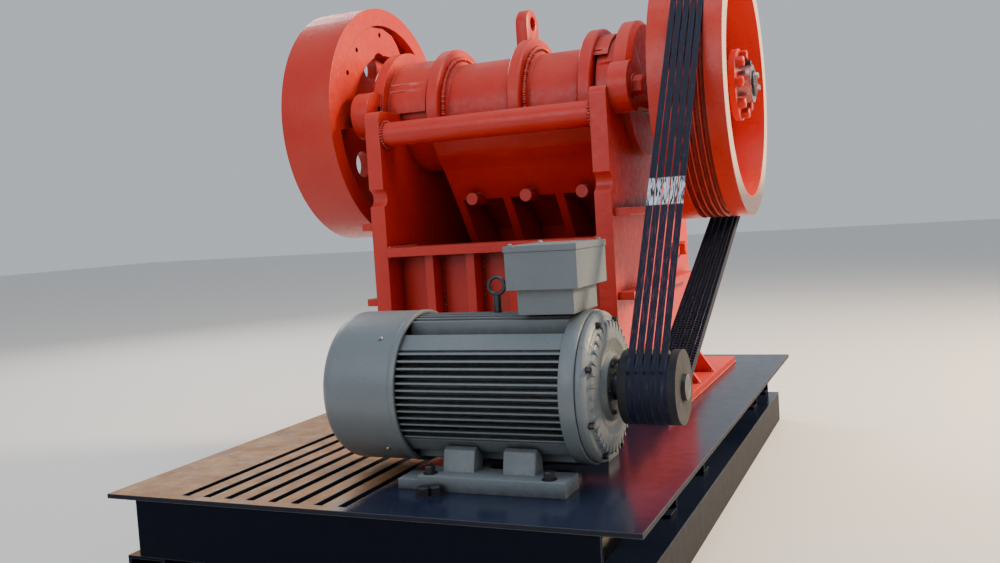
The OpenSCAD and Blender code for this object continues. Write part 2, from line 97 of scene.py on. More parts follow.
# %% Shader helpers
class Tree:
    """Adds nodes to a material and links them by plain calls."""

    def __init__(self, name):
        self.material = bpy.data.materials.new(name)
        self.material.use_nodes = True
        self.nodes = self.material.node_tree.nodes
        self.links = self.material.node_tree.links
        self.shader = self.nodes["Principled BSDF"]
        self.place = self.nodes.new("ShaderNodeTexCoord")

    def add(self, kind, out=0, settings=(), **inputs):
        node = self.nodes.new(kind)
        for key, value in dict(settings).items():
            setattr(node, key, value)
        for key, value in inputs.items():
            self.set(node.inputs[int(key[1:]) if key[1:].isdigit() else key.replace("_", " ")], value)
        return node.outputs[out]

    def set(self, socket, value):
        if isinstance(value, bpy.types.NodeSocket):
            self.links.new(value, socket)
        else:
            socket.default_value = value

    def noise(self, scale, detail=4.0, rough=0.55, stretch=(1, 1, 1), shift=(0, 0, 0)):
        at = self.add("ShaderNodeMapping", Vector=self.place.outputs["Object"], Scale=stretch, Location=shift)
        return self.add("ShaderNodeTexNoise", Vector=at, Scale=scale, Detail=detail, Roughness=rough)

    def ramp(self, value, low, high, a=0.0, b=1.0):
        return self.add("ShaderNodeMapRange", Value=value, From_Min=low, From_Max=high, To_Min=a, To_Max=b)

    def math(self, what, a, b=0.0):
        return self.add("ShaderNodeMath", settings={"operation": what}, i0=a, i1=b)

    def times(self, a, b):
        return self.math("MULTIPLY", a, b)

    def plus(self, a, b):
        return self.math("ADD", a, b)

    def mix(self, factor, a, b):
        node = self.nodes.new("ShaderNodeMix")
        node.data_type = "RGBA"
        self.set(node.inputs["Factor"], factor)
        self.set(node.inputs[6], (*a, 1) if isinstance(a, tuple) else a)
        self.set(node.inputs[7], (*b, 1) if isinstance(b, tuple) else b)
        return node.outputs[2]

    def bump(self, height, strength, distance=0.001, under=None):
        node = self.nodes.new("ShaderNodeBump")
        node.inputs["Strength"].default_value = strength
        node.inputs["Distance"].default_value = distance
        self.links.new(height, node.inputs["Height"])
        if under is not None:
            self.links.new(under, node.inputs["Normal"])
        return node.outputs[0]

    def up(self):
        """How far the surface faces the sky, from the object's own normal."""
        parts = self.nodes.new("ShaderNodeSeparateXYZ")
        self.links.new(self.place.outputs["Normal"], parts.inputs[0])
        return parts.outputs[2]

    def along(self, axis):
        parts = self.nodes.new("ShaderNodeSeparateXYZ")
        self.links.new(self.place.outputs["Object"], parts.inputs[0])
        return parts.outputs[axis]

    def softened(self, radius):
        """The surface's own direction with its sharp edges rounded over a small radius."""
        return self.add("ShaderNodeBevel", settings={"samples": 3}, Radius=radius)

    def edge(self, radius):
        """One on sharp edges and zero on flat faces, from how far the rounded direction leans away."""
        true = self.nodes.new("ShaderNodeNewGeometry").outputs["Normal"]
        lean = self.nodes.new("ShaderNodeVectorMath")
        lean.operation = "DOT_PRODUCT"
        self.links.new(self.softened(radius), lean.inputs[0])
        self.links.new(true, lean.inputs[1])
        return self.ramp(lean.outputs["Value"], 0.985, 0.88)

    def finish(self, color, roughness, normal=None, metallic=0.0, gleam=0.5):
        self.set(self.shader.inputs["Base Color"], color)
        self.set(self.shader.inputs["Roughness"], roughness)
        self.set(self.shader.inputs["Metallic"], metallic)
        self.shader.inputs["Specular IOR Level"].default_value = gleam
        if normal is not None:
            self.set(self.shader.inputs["Normal"], normal)
        return self.material


print("shader helpers ready")

# %% [markdown]
# ## Paint on castings and plate
#
# The crusher is brushed orange-red over rough castings. Sun and stone dust have turned it pinkish where it
# faces the sky. The corners are darkened with painted shade mixed with grime, and edges and weld beads carry
# a pale band that is partly worn paint and partly painted highlight. Ambient occlusion finds the corners, so
# the painted shade follows the shape instead of being painted by hand. One function serves every paint here,
# because only its colours and its roughness change from piece to piece.

# %% Painted metal
CORNER_REACH, WEAR_AND_SHEEN_WIDTH, SOFT_RADIUS = 0.05, 0.004, 0.004


def painted(name, colour, faded, grime_and_shade, dust, edge, rough=0.42, grain=0.5, dusty=0.35,
            grain_scale=90.0, wear_and_sheen=0.5, extra=None):
    """Paint with faded patches, painted shade and grime in corners, dust on top, specks, worn edges with
    painted highlight and a cast skin.
    """
    t = Tree(name)
    broad = t.noise(3.1, 5.0, 0.6)
    fine = t.noise(38.0, 4.0, 0.6, shift=(3, 1, 7))
    skin = t.noise(grain_scale, 3.0, 0.6, shift=(1, 9, 4))
    paint = t.mix(t.ramp(broad, 0.38, 0.66), colour, faded)
    # Painted shade: ambient occlusion darkens the corners towards the grime colour, broken up by noise.
    corner = t.add("ShaderNodeAmbientOcclusion", out=1, settings={"samples": 6}, Distance=CORNER_REACH)
    shade_and_grime_mask = t.times(t.ramp(corner, 0.85, 0.35), t.ramp(fine, 0.3, 0.65, 0.35, 1.0))
    paint = t.mix(t.times(shade_and_grime_mask, 0.85), paint, grime_and_shade)
    patches = t.ramp(t.noise(9.0, 6.0, 0.65), 0.33, 0.68, 0.25, 1.0)
    settled = t.times(t.ramp(t.up(), 0.25, 0.95), patches)
    paint = t.mix(t.times(settled, dusty), paint, dust)
    if extra:
        paint = extra(t, paint)
    speck = t.math("GREATER_THAN", t.noise(140.0, 2.0, 0.5, shift=(5, 5, 2)), 0.71)
    paint = t.mix(t.times(speck, 0.55), paint, grime_and_shade)
    # Edges turn pale: partly worn paint, partly a painted highlight.
    paint = t.mix(t.times(t.edge(WEAR_AND_SHEEN_WIDTH), wear_and_sheen), paint, edge)
    dull = t.plus(fine, t.times(settled, 0.6))
    gloss = t.ramp(dull, 0.3, 1.1, rough * 0.8, min(1.0, rough * 1.7))
    swell = t.bump(t.noise(16.0, 3.0, 0.5), grain * 0.6, 0.003, t.softened(SOFT_RADIUS))
    return t.finish(paint, gloss, t.bump(skin, grain, 0.0012, swell))


print("painted() ready")

# %% The crusher's reds
# Each row: fresh colour, faded colour, painted corner shade with grime, dust, worn edge with painted
# highlight.
RED_GRIME_AND_SHADE, RED_DUST, RED_EDGE = (0.045, 0.004, 0.002), (0.56, 0.09, 0.06), (0.66, 0.13, 0.08)
REDS = ((0.50, 0.010, 0.004), (0.56, 0.024, 0.012), RED_GRIME_AND_SHADE, RED_DUST, RED_EDGE)
WHEEL_REDS = ((0.52, 0.014, 0.006), (0.56, 0.030, 0.014), RED_GRIME_AND_SHADE, RED_DUST, RED_EDGE)
paint_red = painted("crusher_red", *REDS, rough=0.36)
paint_cast = painted("crusher_red_cast", *REDS, rough=0.40, grain=0.9, dusty=0.45, grain_scale=45.0)
paint_wheel = painted("wheel_red", *WHEEL_REDS, rough=0.32, dusty=0.2)
print("reds:", paint_red.name, paint_cast.name, paint_wheel.name)

# %% [markdown]
# ## The belt wheel's painted highlight ring
#
# The outer ring of this wheel's face carries a pale painted highlight, which darkens into painted shade
# towards the ground. The distance from the wheel's centre and the height mark the ring in the paint itself,
# so it needs no piece of its own.

# %% The painted highlight ring
WHEEL_AT, FACE_FROM_X = (0.157, 1.317), 0.757
RING_FADES_IN, RING_SHADE_Z = (0.358, 0.364), (-0.36, -0.24)
RIM_SHADE, RIM_HIGHLIGHT = (0.13, 0.10, 0.09), (0.66, 0.50, 0.38)


def rim_highlight_ring(t, paint):
    y = t.math("SUBTRACT", t.along(1), WHEEL_AT[0])
    z = t.math("SUBTRACT", t.along(2), WHEEL_AT[1])
    radius = t.math("SQRT", t.plus(t.times(y, y), t.times(z, z)))
    ring = t.times(t.math("GREATER_THAN", t.along(0), FACE_FROM_X), t.ramp(radius, *RING_FADES_IN))
    # Painted highlight: the ring is pale high up and turns to painted shade towards the ground.
    rim_light = t.mix(t.ramp(z, *RING_SHADE_Z), RIM_SHADE, RIM_HIGHLIGHT)
    return t.mix(t.times(ring, 0.94), paint, rim_light)


paint_rim = painted("wheel_rim_red", *WHEEL_REDS, rough=0.32, dusty=0.2, extra=rim_highlight_ring)
print("worn ring:", paint_rim.name)

# %% [markdown]
# ## The motor's greys and the pulley's navy
#
# The motor is sprayed a cool grey, smooth on its sheet-metal cowl and grainy on its castings, so the same
# paint is made twice with different grain. The pulley is nearly black, and dull enough not to mirror.

# %% Greys and navy
# Rows as for the reds: the third colour is painted corner shade with grime, the last the edge with its
# painted highlight.
GREYS = ((0.122, 0.147, 0.166), (0.143, 0.168, 0.184), (0.050, 0.044, 0.038), (0.17, 0.19, 0.20),
         (0.24, 0.27, 0.28))
NAVIES = ((0.003, 0.004, 0.009), (0.004, 0.006, 0.013), (0.003, 0.003, 0.004), (0.010, 0.013, 0.022),
          (0.03, 0.036, 0.05))
paint_grey = painted("motor_grey", *GREYS, rough=0.36, grain=0.35)
paint_grey_cast = painted("motor_grey_cast", *GREYS, grain=1.0, grain_scale=60.0)
pulley_navy = painted("pulley_navy", *NAVIES, rough=0.8, grain=0.3, dusty=0.2)
print("greys and navy:", paint_grey.name, paint_grey_cast.name, pulley_navy.name)

# %% [markdown]
# ## The skid's paint, with dust and painted light
#
# The deck is a glossy dark navy near the motor, and lies under a film of brown dust on the other side. The
# film also paints the sunlight that fell on that side, so it is dust and painted light in one. A mask that
# runs along X and is broken up by noise moves from one to the other. Faces that look sideways take no dust,
# and are darkened with painted shade and made dull.

# %% Skid paint
DUST_AND_SUN_ENDS_X, DUST_AND_SUN_STARTS_X, EARTHY, EARTH_PALE = 0.13, 0.03, (0.28, 0.12, 0.045), (0.50, 0.27, 0.11)


def skid_paint(name, gleam):
    t = Tree(name)
    broad = t.noise(2.3, 5.0, 0.6)
    fine = t.noise(30.0, 4.0, 0.6)
    navy = t.mix(t.ramp(broad, 0.35, 0.7), (0.006, 0.010, 0.026), (0.012, 0.018, 0.042))
    reach = t.plus(t.along(0), t.times(broad, 0.22))
    bare = t.ramp(reach, DUST_AND_SUN_ENDS_X, DUST_AND_SUN_STARTS_X)
    # The film is dust, and its pale patch also paints the sunlight that fell on this side.
    dust_and_sun_film = t.times(t.ramp(t.up(), 0.5, 0.95), t.times(bare, t.ramp(fine, 0.2, 0.6, 0.6, 1.0)))
    dust_and_sun_tone = t.mix(t.ramp(t.noise(11.0, 5.0, 0.7), 0.35, 0.7), EARTHY, EARTH_PALE)
    sideways = t.ramp(t.up(), 0.6, 0.2)
    colour = t.mix(t.times(dust_and_sun_film, 0.94), navy, dust_and_sun_tone)
    # Painted shade: faces that look sideways are darkened to near black.
    colour = t.mix(sideways, colour, (0.003, 0.004, 0.010))
    scuff = t.times(t.ramp(t.noise(24.0, 5.0, 0.7, stretch=(1, 1, 4)), 0.66, 0.85), 0.25)
    colour = t.mix(scuff, colour, (0.06, 0.06, 0.08))
    # Edges turn pale blue-grey: partly worn paint, partly a painted highlight.
    colour = t.mix(t.times(t.edge(0.003), 0.55), colour, (0.20, 0.24, 0.33))
    gloss = t.plus(t.ramp(fine, 0.3, 0.8, 0.14, 0.26), t.times(dust_and_sun_film, 0.55))
    gloss = t.plus(gloss, t.times(sideways, 0.5))
    normal = t.bump(t.noise(5.0, 3.0, 0.5), 0.2, 0.003, t.bump(fine, 0.1, 0.0006, t.softened(0.003)))
    return t.finish(colour, gloss, normal, gleam=gleam)


paint_navy = skid_paint("skid_navy", 0.3)
paint_beam = skid_paint("skid_navy_dull", 0.06)
print("skid paint:", paint_navy.name, paint_beam.name)

# %% [markdown]
# ## Belt rubber
#
# The belts are dark blue rubber with marks along their run, a pinkish wear low down, and one pale band of
# plain strokes. The pattern has to follow the belts' slope, so the run is measured along a line from the
# pulley to the wheel, worked out from the Object coordinates.

# %% Rubber
RUN_FROM, RUN_ALONG = Vector((0, -0.8605, 0.5578)), Vector((0, 0.558, 0.830))
BAND, BAND_EDGE, FRONT_FROM = (0.470, 0.550), 0.004, -0.012


def run_and_side(t):
    """How far along the front run a point lies, in metres, and one where it is on that run."""
    y, z = t.along(1), t.along(2)
    run = t.plus(t.times(y, RUN_ALONG.y), t.times(z, RUN_ALONG.z))
    run = t.math("SUBTRACT", run, RUN_FROM.dot(RUN_ALONG))
    off = t.math("SUBTRACT", t.times(z, RUN_ALONG.y), t.times(y, RUN_ALONG.z))
    off = t.math("SUBTRACT", off, RUN_FROM.z * RUN_ALONG.y - RUN_FROM.y * RUN_ALONG.z)
    return run, t.math("GREATER_THAN", off, FRONT_FROM)


def belt_rubber():
    t = Tree("belt_rubber")
    run, front = run_and_side(t)
    weave = t.noise(60.0, 4.0, 0.6, stretch=(9, 1, 1))
    streak = t.noise(22.0, 3.0, 0.6, stretch=(26, 1, 1), shift=(2, 4, 1))
    colour = t.mix(t.ramp(weave, 0.35, 0.7), (0.004, 0.0055, 0.016), (0.011, 0.013, 0.034))
    colour = t.mix(t.times(t.ramp(streak, 0.60, 0.72), 0.5), colour, (0.08, 0.115, 0.20))
    low = t.times(t.ramp(run, 0.50, 0.36), t.ramp(run, 0.02, 0.20))
    rubbed = t.ramp(t.noise(30.0, 3.0, 0.6, stretch=(14, 1, 1)), 0.54, 0.66)
    worn = t.times(t.times(low, front), rubbed)
    colour = t.mix(t.times(worn, 0.55), colour, (0.30, 0.07, 0.10))
    band = t.times(t.ramp(run, BAND[0] - BAND_EDGE, BAND[0]), t.ramp(run, BAND[1] + BAND_EDGE, BAND[1]))
    stroke = t.ramp(t.noise(34.0, 2.0, 0.5, stretch=(11, 1, 1), shift=(7, 0, 3)), 0.42, 0.56)
    colour = t.mix(t.times(t.times(band, front), stroke), colour, (0.62, 0.66, 0.74))
    return t.finish(colour, t.ramp(weave, 0.3, 0.7, 0.45, 0.7), t.bump(weave, 0.5, 0.001), gleam=0.2)


rubber = belt_rubber()
print("rubber:", rubber.name)

# %% [markdown]
# ## Bare steel and manganese steel
#
# Shaft ends and screws are bare steel with a trace of rust, the motor's shaft and its lifting eye are duller,
# and the jaw plates are dark cast manganese steel. A metal is a blotched colour, an uneven gloss and a
# fine bump.

# %% Metals
def metal(name, colour, stain, rough, amount=0.3, metallic=1.0):
    t = Tree(name)
    blot = t.ramp(t.noise(22.0, 5.0, 0.65), 0.5, 0.75)
    paint = t.mix(t.times(blot, amount), colour, stain)
    gloss = t.ramp(t.noise(55.0, 3.0, 0.6), 0.3, 0.8, rough * 0.7, rough * 1.4)
    return t.finish(paint, gloss, t.bump(t.noise(80.0, 3.0, 0.6), 0.3, 0.0006), metallic=metallic)


steel = metal("bare_steel", (0.42, 0.42, 0.42), (0.12, 0.07, 0.05), 0.3)
dull_steel = metal("dull_steel", (0.07, 0.074, 0.082), (0.03, 0.024, 0.02), 0.5)
jaw_steel = metal("manganese_steel", (0.17, 0.16, 0.15), (0.16, 0.08, 0.05), 0.6, 0.7, 0.6)
black_steel = metal("black_steel", (0.020, 0.021, 0.026), (0.06, 0.03, 0.02), 0.42, 0.4, 0.4)
print("metals:", steel.name, dull_steel.name, jaw_steel.name, black_steel.name)

# %% [markdown]
# ## Finishes for the construction's own solids
#
# The record names a slot for each solid, and most solids simply take their slot's finish. The cast side
# plates, the skid's beams and the motor's bare shaft take a variant.

# %% Give the construction its finishes
FINISH = {
    "skid_paint": paint_navy, "crusher_paint": paint_red, "motor_paint": paint_grey,
    "pulley_paint": pulley_navy, "belt_rubber": rubber, "bare_steel": steel, "jaw_steel": jaw_steel,
    "spring_steel": black_steel}
VARIANT = {
    "side_plate_left": paint_cast, "side_plate_right": paint_cast, "rail_left": paint_beam,
    "front_beam": paint_beam, "rear_beam": paint_beam, "middle_beams": paint_beam,
    "ground_tie": paint_beam, "motor_shaft": dull_steel, "lifting_eyebolt": dull_steel}
slots = {row["node"]: row["material_slot"] for row in frame["record"]["subparts"]}
for name, node in frame["nodes"].items():
    node.data.materials.clear()
    node.data.materials.append(VARIANT.get(name, FINISH[slots[name]]))
print("finished nodes:", len(frame["nodes"]))

# %% [markdown]
# ## Trees that grow what repeats
#
# Bolts, weld ripples, ribs and belt cogs are the same shape many times over, so each is a tree of Geometry
# Nodes: it takes bare points or a line, puts one small shape on each, and turns the copies into a real mesh
# at the end. A class like the one for shaders keeps the trees short.

# %% Geometry helpers
NUMBER, WHOLE, PAINT = "NodeSocketFloat", "NodeSocketInt", "NodeSocketMaterial"


class Grower:
    """A tree of Geometry Nodes with named inputs."""

    def __init__(self, name, **inputs):
        self.tree = bpy.data.node_groups.new(name, "GeometryNodeTree")
        shape = "NodeSocketGeometry"
        self.tree.interface.new_socket("Points", in_out="INPUT", socket_type=shape)
        for key, kind in inputs.items():
            self.tree.interface.new_socket(key, in_out="INPUT", socket_type=kind)
        self.tree.interface.new_socket("Mesh", in_out="OUTPUT", socket_type=shape)
        self.given = self.tree.nodes.new("NodeGroupInput").outputs
        self.result = self.tree.nodes.new("NodeGroupOutput")

    def add(self, kind, out=0, settings=(), **inputs):
        node = self.tree.nodes.new(kind)
        for key, value in dict(settings).items():
            setattr(node, key, value)
        for key, value in inputs.items():
            socket = node.inputs[int(key[1:]) if key[1:].isdigit() else key.replace("_", " ")]
            for one in value if isinstance(value, list) else [value]:
                if isinstance(one, bpy.types.NodeSocket):
                    self.tree.links.new(one, socket)
                else:
                    socket.default_value = one
        return node.outputs[out]

    def math(self, what, a, b=0.0):
        return self.add("ShaderNodeMath", settings={"operation": what}, i0=a, i1=b)

    def times(self, a, b):
        return self.math("MULTIPLY", a, b)

    def vector(self, x=0.0, y=0.0, z=0.0):
        return self.add("ShaderNodeCombineXYZ", X=x, Y=y, Z=z)

    def facing(self):
        """The direction that each point carries with it."""
        kind = {"data_type": "FLOAT_VECTOR"}
        return self.add("GeometryNodeInputNamedAttribute", settings=kind, Name="facing")

    def chance(self, low, high):
        """A number for each copy between low and high, the same in every run for the same seed."""
        kind = {"data_type": "FLOAT"}
        seed = self.given["Seed"]
        return self.add("FunctionNodeRandomValue", out=1, settings=kind, i2=low, i3=high, Seed=seed)

    def end(self, instances):
        real = self.add("GeometryNodeRealizeInstances", Geometry=instances)
        finished = self.add("GeometryNodeSetMaterial", Geometry=real, Material=self.given["Material"])
        self.tree.links.new(finished, self.result.inputs[0])
        return self.tree


print("geometry helpers ready")

# %% [markdown]
# ## From a tree to a piece
#
# One function runs a tree over a list of points, keeps the result as a plain mesh and hangs that piece on
# its body. The inputs are set by each socket's identifier, because the names are only labels.

# %% Growing a piece
def link(name, mesh):
    piece = bpy.data.objects.new(name, mesh)
    bpy.context.collection.objects.link(piece)
    return piece


def grow(name, tree, points, body, slot, axes=None, edges=(), smooth=False, **values):
    """Runs a tree over points and keeps the mesh as a piece of its own on a body."""
    base = bpy.data.meshes.new(name + "_base")
    base.from_pydata([tuple(p) for p in points], list(edges), [])
    facing = base.attributes.new("facing", "FLOAT_VECTOR", "POINT")
    for i in range(len(points)):
        facing.data[i].vector = axes[i] if axes else (0, 0, 1)
    holder = link(name + "_holder", base)
    modifier = holder.modifiers.new("grow", "NODES")
    modifier.node_group = tree
    for item in tree.interface.items_tree:
        if item.in_out == "INPUT" and item.name in values:
            modifier[item.identifier] = values[item.name]
    graph = bpy.context.evaluated_depsgraph_get()
    mesh = bpy.data.meshes.new_from_object(holder.evaluated_get(graph), depsgraph=graph)
    holder.modifiers.remove(modifier)
    bpy.data.objects.remove(holder)
    if smooth:
        mesh.shade_smooth()
    piece = link(name, mesh)
    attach(piece, body)
    print(f"{name}: {len(points)} points, {len(mesh.polygons)} faces")
    return piece


print("grow() ready")

# %% [markdown]
# ## A tree for bolts
#
# A bolt is a washer, a hexagon and a small cone for the worn chamfer. Each stands on its point, faces the
# way the point says, and is turned by chance about its own axis, as no two spanners stop alike.

# %% The bolt tree
WASHER_FLATNESS, CORNER_TO_FLATS, HEAD_BELOW_CHAMFER, CHAMFER_TOP = 0.14, 0.577, 0.82, 0.84


def bolt_tree():
    g = Grower("bolts", Across=NUMBER, Head=NUMBER, Washer=NUMBER, Seed=WHOLE, Material=PAINT)
    across, head, washer = g.given["Across"], g.given["Head"], g.given["Washer"]

    def raised(shape, height):
        return g.add("GeometryNodeTransform", Geometry=shape, Translation=g.vector(z=height))

    thick = g.times(washer, WASHER_FLATNESS)
    flat = g.add("GeometryNodeMeshCylinder", Vertices=24, Radius=washer, Depth=thick)
    flat = raised(flat, g.times(thick, 0.5))
    corner = g.times(across, CORNER_TO_FLATS)
    body = g.times(head, HEAD_BELOW_CHAMFER)
    hexagon = g.add("GeometryNodeMeshCylinder", Vertices=6, Radius=corner, Depth=body)
    hexagon = raised(hexagon, g.math("ADD", thick, g.times(body, 0.5)))
    cap = g.add("GeometryNodeMeshCone", Vertices=6, Radius_Top=g.times(corner, CHAMFER_TOP),
                Radius_Bottom=corner, Depth=g.times(head, 1 - HEAD_BELOW_CHAMFER))
    cap = raised(cap, g.math("ADD", thick, body))
    bolt = g.add("GeometryNodeJoinGeometry", Geometry=[flat, hexagon, cap])
    aligned = g.add("FunctionNodeAlignRotationToVector", settings={"axis": "Z"}, Vector=g.facing())
    spin = g.add("FunctionNodeEulerToRotation", Euler=g.vector(z=g.chance(0.0, 6.283)))
    spun = g.add("FunctionNodeRotateRotation", settings={"rotation_space": "LOCAL"}, Rotation=aligned,
                 Rotate_By=spin)
    on = g.add("GeometryNodeInstanceOnPoints", Points=g.given["Points"], Instance=bolt, Rotation=spun)
    return g.end(on)


BOLTS = bolt_tree()
print("bolt tree:", len(BOLTS.nodes), "nodes")

# %% [markdown]
# ## A tree for welds
#
# A weld laid by hand is a row of overlapping ripples. The tree walks along a line in even steps and sets a
# flattened bead at each, a little bigger or smaller by chance.

# %% The weld tree
BEAD_LENGTH, BEAD_SIZES = 0.62, (0.78, 1.15)


def weld_tree():
    g = Grower("weld", Radius=NUMBER, Step=NUMBER, Seed=WHOLE, Material=PAINT)
    curve = g.add("GeometryNodeMeshToCurve", Mesh=g.given["Points"])
    steps = g.add("GeometryNodeResampleCurve", settings={"mode": "LENGTH"}, Curve=curve,
                  Length=g.given["Step"])
    bead = g.add("GeometryNodeMeshUVSphere", Segments=7, Rings=5, Radius=g.given["Radius"])
    size = g.chance(*BEAD_SIZES)
    tangent = g.add("GeometryNodeInputTangent")
    aligned = g.add("FunctionNodeAlignRotationToVector", settings={"axis": "Z"}, Vector=tangent)
    squashed = g.add("ShaderNodeVectorMath", settings={"operation": "SCALE"},
                     i0=g.vector(1.0, 1.0, BEAD_LENGTH), Scale=size)
    on = g.add("GeometryNodeInstanceOnPoints", Points=steps, Instance=bead, Rotation=aligned, Scale=squashed)
    return g.end(on)


WELD = weld_tree()
print("weld tree:", len(WELD.nodes), "nodes")

# %% [markdown]
# ## A tree for bars
#
# The motor shield's ribs and the belts' cogs are both small bars, so one tree makes both. It turns a bar
# about X alone, which keeps every bar's width along the shaft.

# %% The bar tree
def bar_tree():
    g = Grower("bars", Width=NUMBER, Length=NUMBER, Height=NUMBER, Material=PAINT)
    size = g.vector(g.given["Width"], g.given["Length"], g.given["Height"])
    bar = g.add("GeometryNodeMeshCube", Size=size)
    aligned = g.add("FunctionNodeAlignRotationToVector", settings={"axis": "Z", "pivot_axis": "X"},
                    Vector=g.facing())
    on = g.add("GeometryNodeInstanceOnPoints", Points=g.given["Points"], Instance=bar, Rotation=aligned)
    return g.end(on)


BARS = bar_tree()
print("bar tree:", len(BARS.nodes), "nodes")

# %% [markdown]
# ## Shapes in plain mesh code
#
# Castings are turned, cut from plate or both, so a few helpers make nearly all of them. One spins an outline
# about an X axis, one pushes an outline straight, and the rest are short forms of these two. They all end in
# one function that merges doubles and turns the faces outwards, so every solid is closed.

# %% Solids from outlines
MERGE_DISTANCE = 1e-6


def solid(name, corners, faces):
    """A closed mesh with its doubles merged and its faces turned outwards."""
    mesh = bpy.data.meshes.new(name)
    mesh.from_pydata([tuple(c) for c in corners], [], faces)
    build = bmesh.new()
    build.from_mesh(mesh)
    bmesh.ops.remove_doubles(build, verts=build.verts, dist=MERGE_DISTANCE)
    bmesh.ops.dissolve_degenerate(build, edges=build.edges, dist=MERGE_DISTANCE)
    bmesh.ops.delete(build, geom=[e for e in build.edges if not e.link_faces], context="EDGES")
    bmesh.ops.recalc_face_normals(build, faces=build.faces)
    build.to_mesh(mesh)
    build.free()
    return mesh


def turned(outline, centre, steps=96):
    """Spins a closed outline of (x, radius) pairs about the X axis through centre (y, z)."""
    corners, faces, n = [], [], len(outline)
    for k in range(steps):
        a = 2 * math.pi * k / steps
        corners += [(x, centre[0] + r * math.cos(a), centre[1] + r * math.sin(a)) for x, r in outline]
        m = (k + 1) % steps
        faces += [(k * n + i, k * n + (i + 1) % n, m * n + (i + 1) % n, m * n + i) for i in range(n)]
    return solid("turned", corners, faces)


def pushed(outline, low, high, axis=0):
    """Pushes a flat outline from low to high along an axis; its pairs are the other two axes."""
    corners, n = [], len(outline)
    for level in (low, high):
        for p, q in outline:
            corner = [p, q]
            corner.insert(axis, level)
            corners.append(corner)
    faces = [tuple(range(n))[::-1], tuple(range(n, 2 * n))]
    faces += [(i, (i + 1) % n, n + (i + 1) % n, n + i) for i in range(n)]
    return solid("pushed", corners, faces)


print("solid(), turned() and pushed() ready")

# %% Short forms
def block(x, y, z):
    return pushed([(y[0], z[0]), (y[1], z[0]), (y[1], z[1]), (y[0], z[1])], *x)


def rod(x0, x1, radius, centre, steps=48):
    """A round bar along X."""
    return turned([(x0, 0), (x0, radius), (x1, radius), (x1, 0)], centre, steps)


def peg(x, span, z, radius, steps=32):
    """A round bar along Y."""
    angles = [2 * math.pi * i / steps for i in range(steps)]
    return pushed([(x + radius * math.cos(a), z + radius * math.sin(a)) for a in angles], *span, axis=1)


def around(radius, degrees, centre=WHEEL_AT):
    """The (y, z) pair at a radius and an angle about a centre."""
    a = math.radians(degrees)
    return centre[0] + radius * math.cos(a), centre[1] + radius * math.sin(a)


print("block(), rod(), peg() and around() ready")

# %% [markdown]
# ## Joining, cutting and keeping
#
# Solids are joined and cut with Blender's exact boolean, which leaves closed meshes. A small bevel at the
# end gives every edge the rounding that cast iron and thick paint have. The last helper does what every
# finished piece needs: its finish, its body and the solids that it stands for.

# %% Joining and keeping
BEVEL_FROM, SHARP_FROM = math.radians(34), math.radians(33)


def with_modifier(mesh, kind, **settings):
    holder = link("holder", mesh)
    modifier = holder.modifiers.new("work", kind)
    for key, value in settings.items():
        setattr(modifier, key, value)
    graph = bpy.context.evaluated_depsgraph_get()
    made = bpy.data.meshes.new_from_object(holder.evaluated_get(graph), depsgraph=graph)
    bpy.data.objects.remove(holder)
    return made


def combine(mesh, others, how="UNION"):
    for other in others:
        tool = link("tool", other)
        mesh = with_modifier(mesh, "BOOLEAN", object=tool, operation=how, solver="EXACT")
        bpy.data.objects.remove(tool)
    return mesh


def cut(mesh, others):
    return combine(mesh, others, "DIFFERENCE")


def keep(name, mesh, body, finish, replaces=(), bevel=0.002):
    """Rounds the edges, paints the mesh and hangs it on its body."""
    if bevel:
        mesh = with_modifier(mesh, "BEVEL", width=bevel, segments=2, limit_method="ANGLE",
                             angle_limit=BEVEL_FROM)
    mesh.shade_smooth()
    mesh.set_sharp_from_angle(angle=SHARP_FROM)
    mesh.materials.clear()
    mesh.materials.append(finish)
    piece = link(name, mesh)
    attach(piece, body)
    for node in replaces:
        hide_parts(node)
    print(f"{name}: {len(mesh.polygons)} faces")
    return piece


print("combine(), cut() and keep() ready")

# %% [markdown]
# ## The swing jaw's casting
#
# The moving jaw hangs from a thick tube round the eccentric. Three narrow collars are welded on the tube,
# and below it a smooth back plate runs down to three lugs, then opens into deep windows between four ribs.
# The tube is turned, the plate and ribs are pushed along X, and a tool as thick as the shaft bores it.

# %% The jaw's measures
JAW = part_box("swing_jaw")
ECCENTRIC, HEAD_R, COLLAR_R, SHOULDER_R = (0.16382, 1.309686), 0.187, 0.243, 0.208
HEAD_X, COLLAR_W, WELD_W, BORE_R = (-0.293, 0.305), 0.045, 0.015, 0.0803
COLLARS, COLLAR_CHAMFER = (-0.287, 0.015, 0.260), 0.005
BACK = [(-0.040, 1.235), (-0.001, 1.165), (0.047, 1.121), (0.101, 1.050), (0.131, 1.010)]
FACE_FOOT, FACE_TOP = (0.583, 0.500), (0.3748, 1.277)
SEAT_Y, GROOVE_AT, GROOVE_R, GROOVE_X = 0.4448, (0.4188, 0.612), 0.0233, (-0.39, 0.33)
print("jaw:", [round(b - a, 3) for a, b in zip(*JAW)], "m")

# %% The tube and its collars
def jaw_head():
    outline = [(HEAD_X[0], 0), (HEAD_X[0], HEAD_R)]
    for x in COLLARS:
        end = x + COLLAR_W
        left = [(x - WELD_W, HEAD_R), (x, SHOULDER_R)] if x > HEAD_X[0] + WELD_W else [(x, HEAD_R)]
        right = [(end, SHOULDER_R), (end + WELD_W, HEAD_R)] if end + WELD_W < HEAD_X[1] else []
        outline += left + [(x, COLLAR_R - COLLAR_CHAMFER), (x + COLLAR_CHAMFER, COLLAR_R)]
        outline += [(end - COLLAR_CHAMFER, COLLAR_R), (end, COLLAR_R - COLLAR_CHAMFER)] + right
    return turned(outline + [(HEAD_X[1], 0)], ECCENTRIC, 128)


print("tube with", len(COLLARS), "collars")

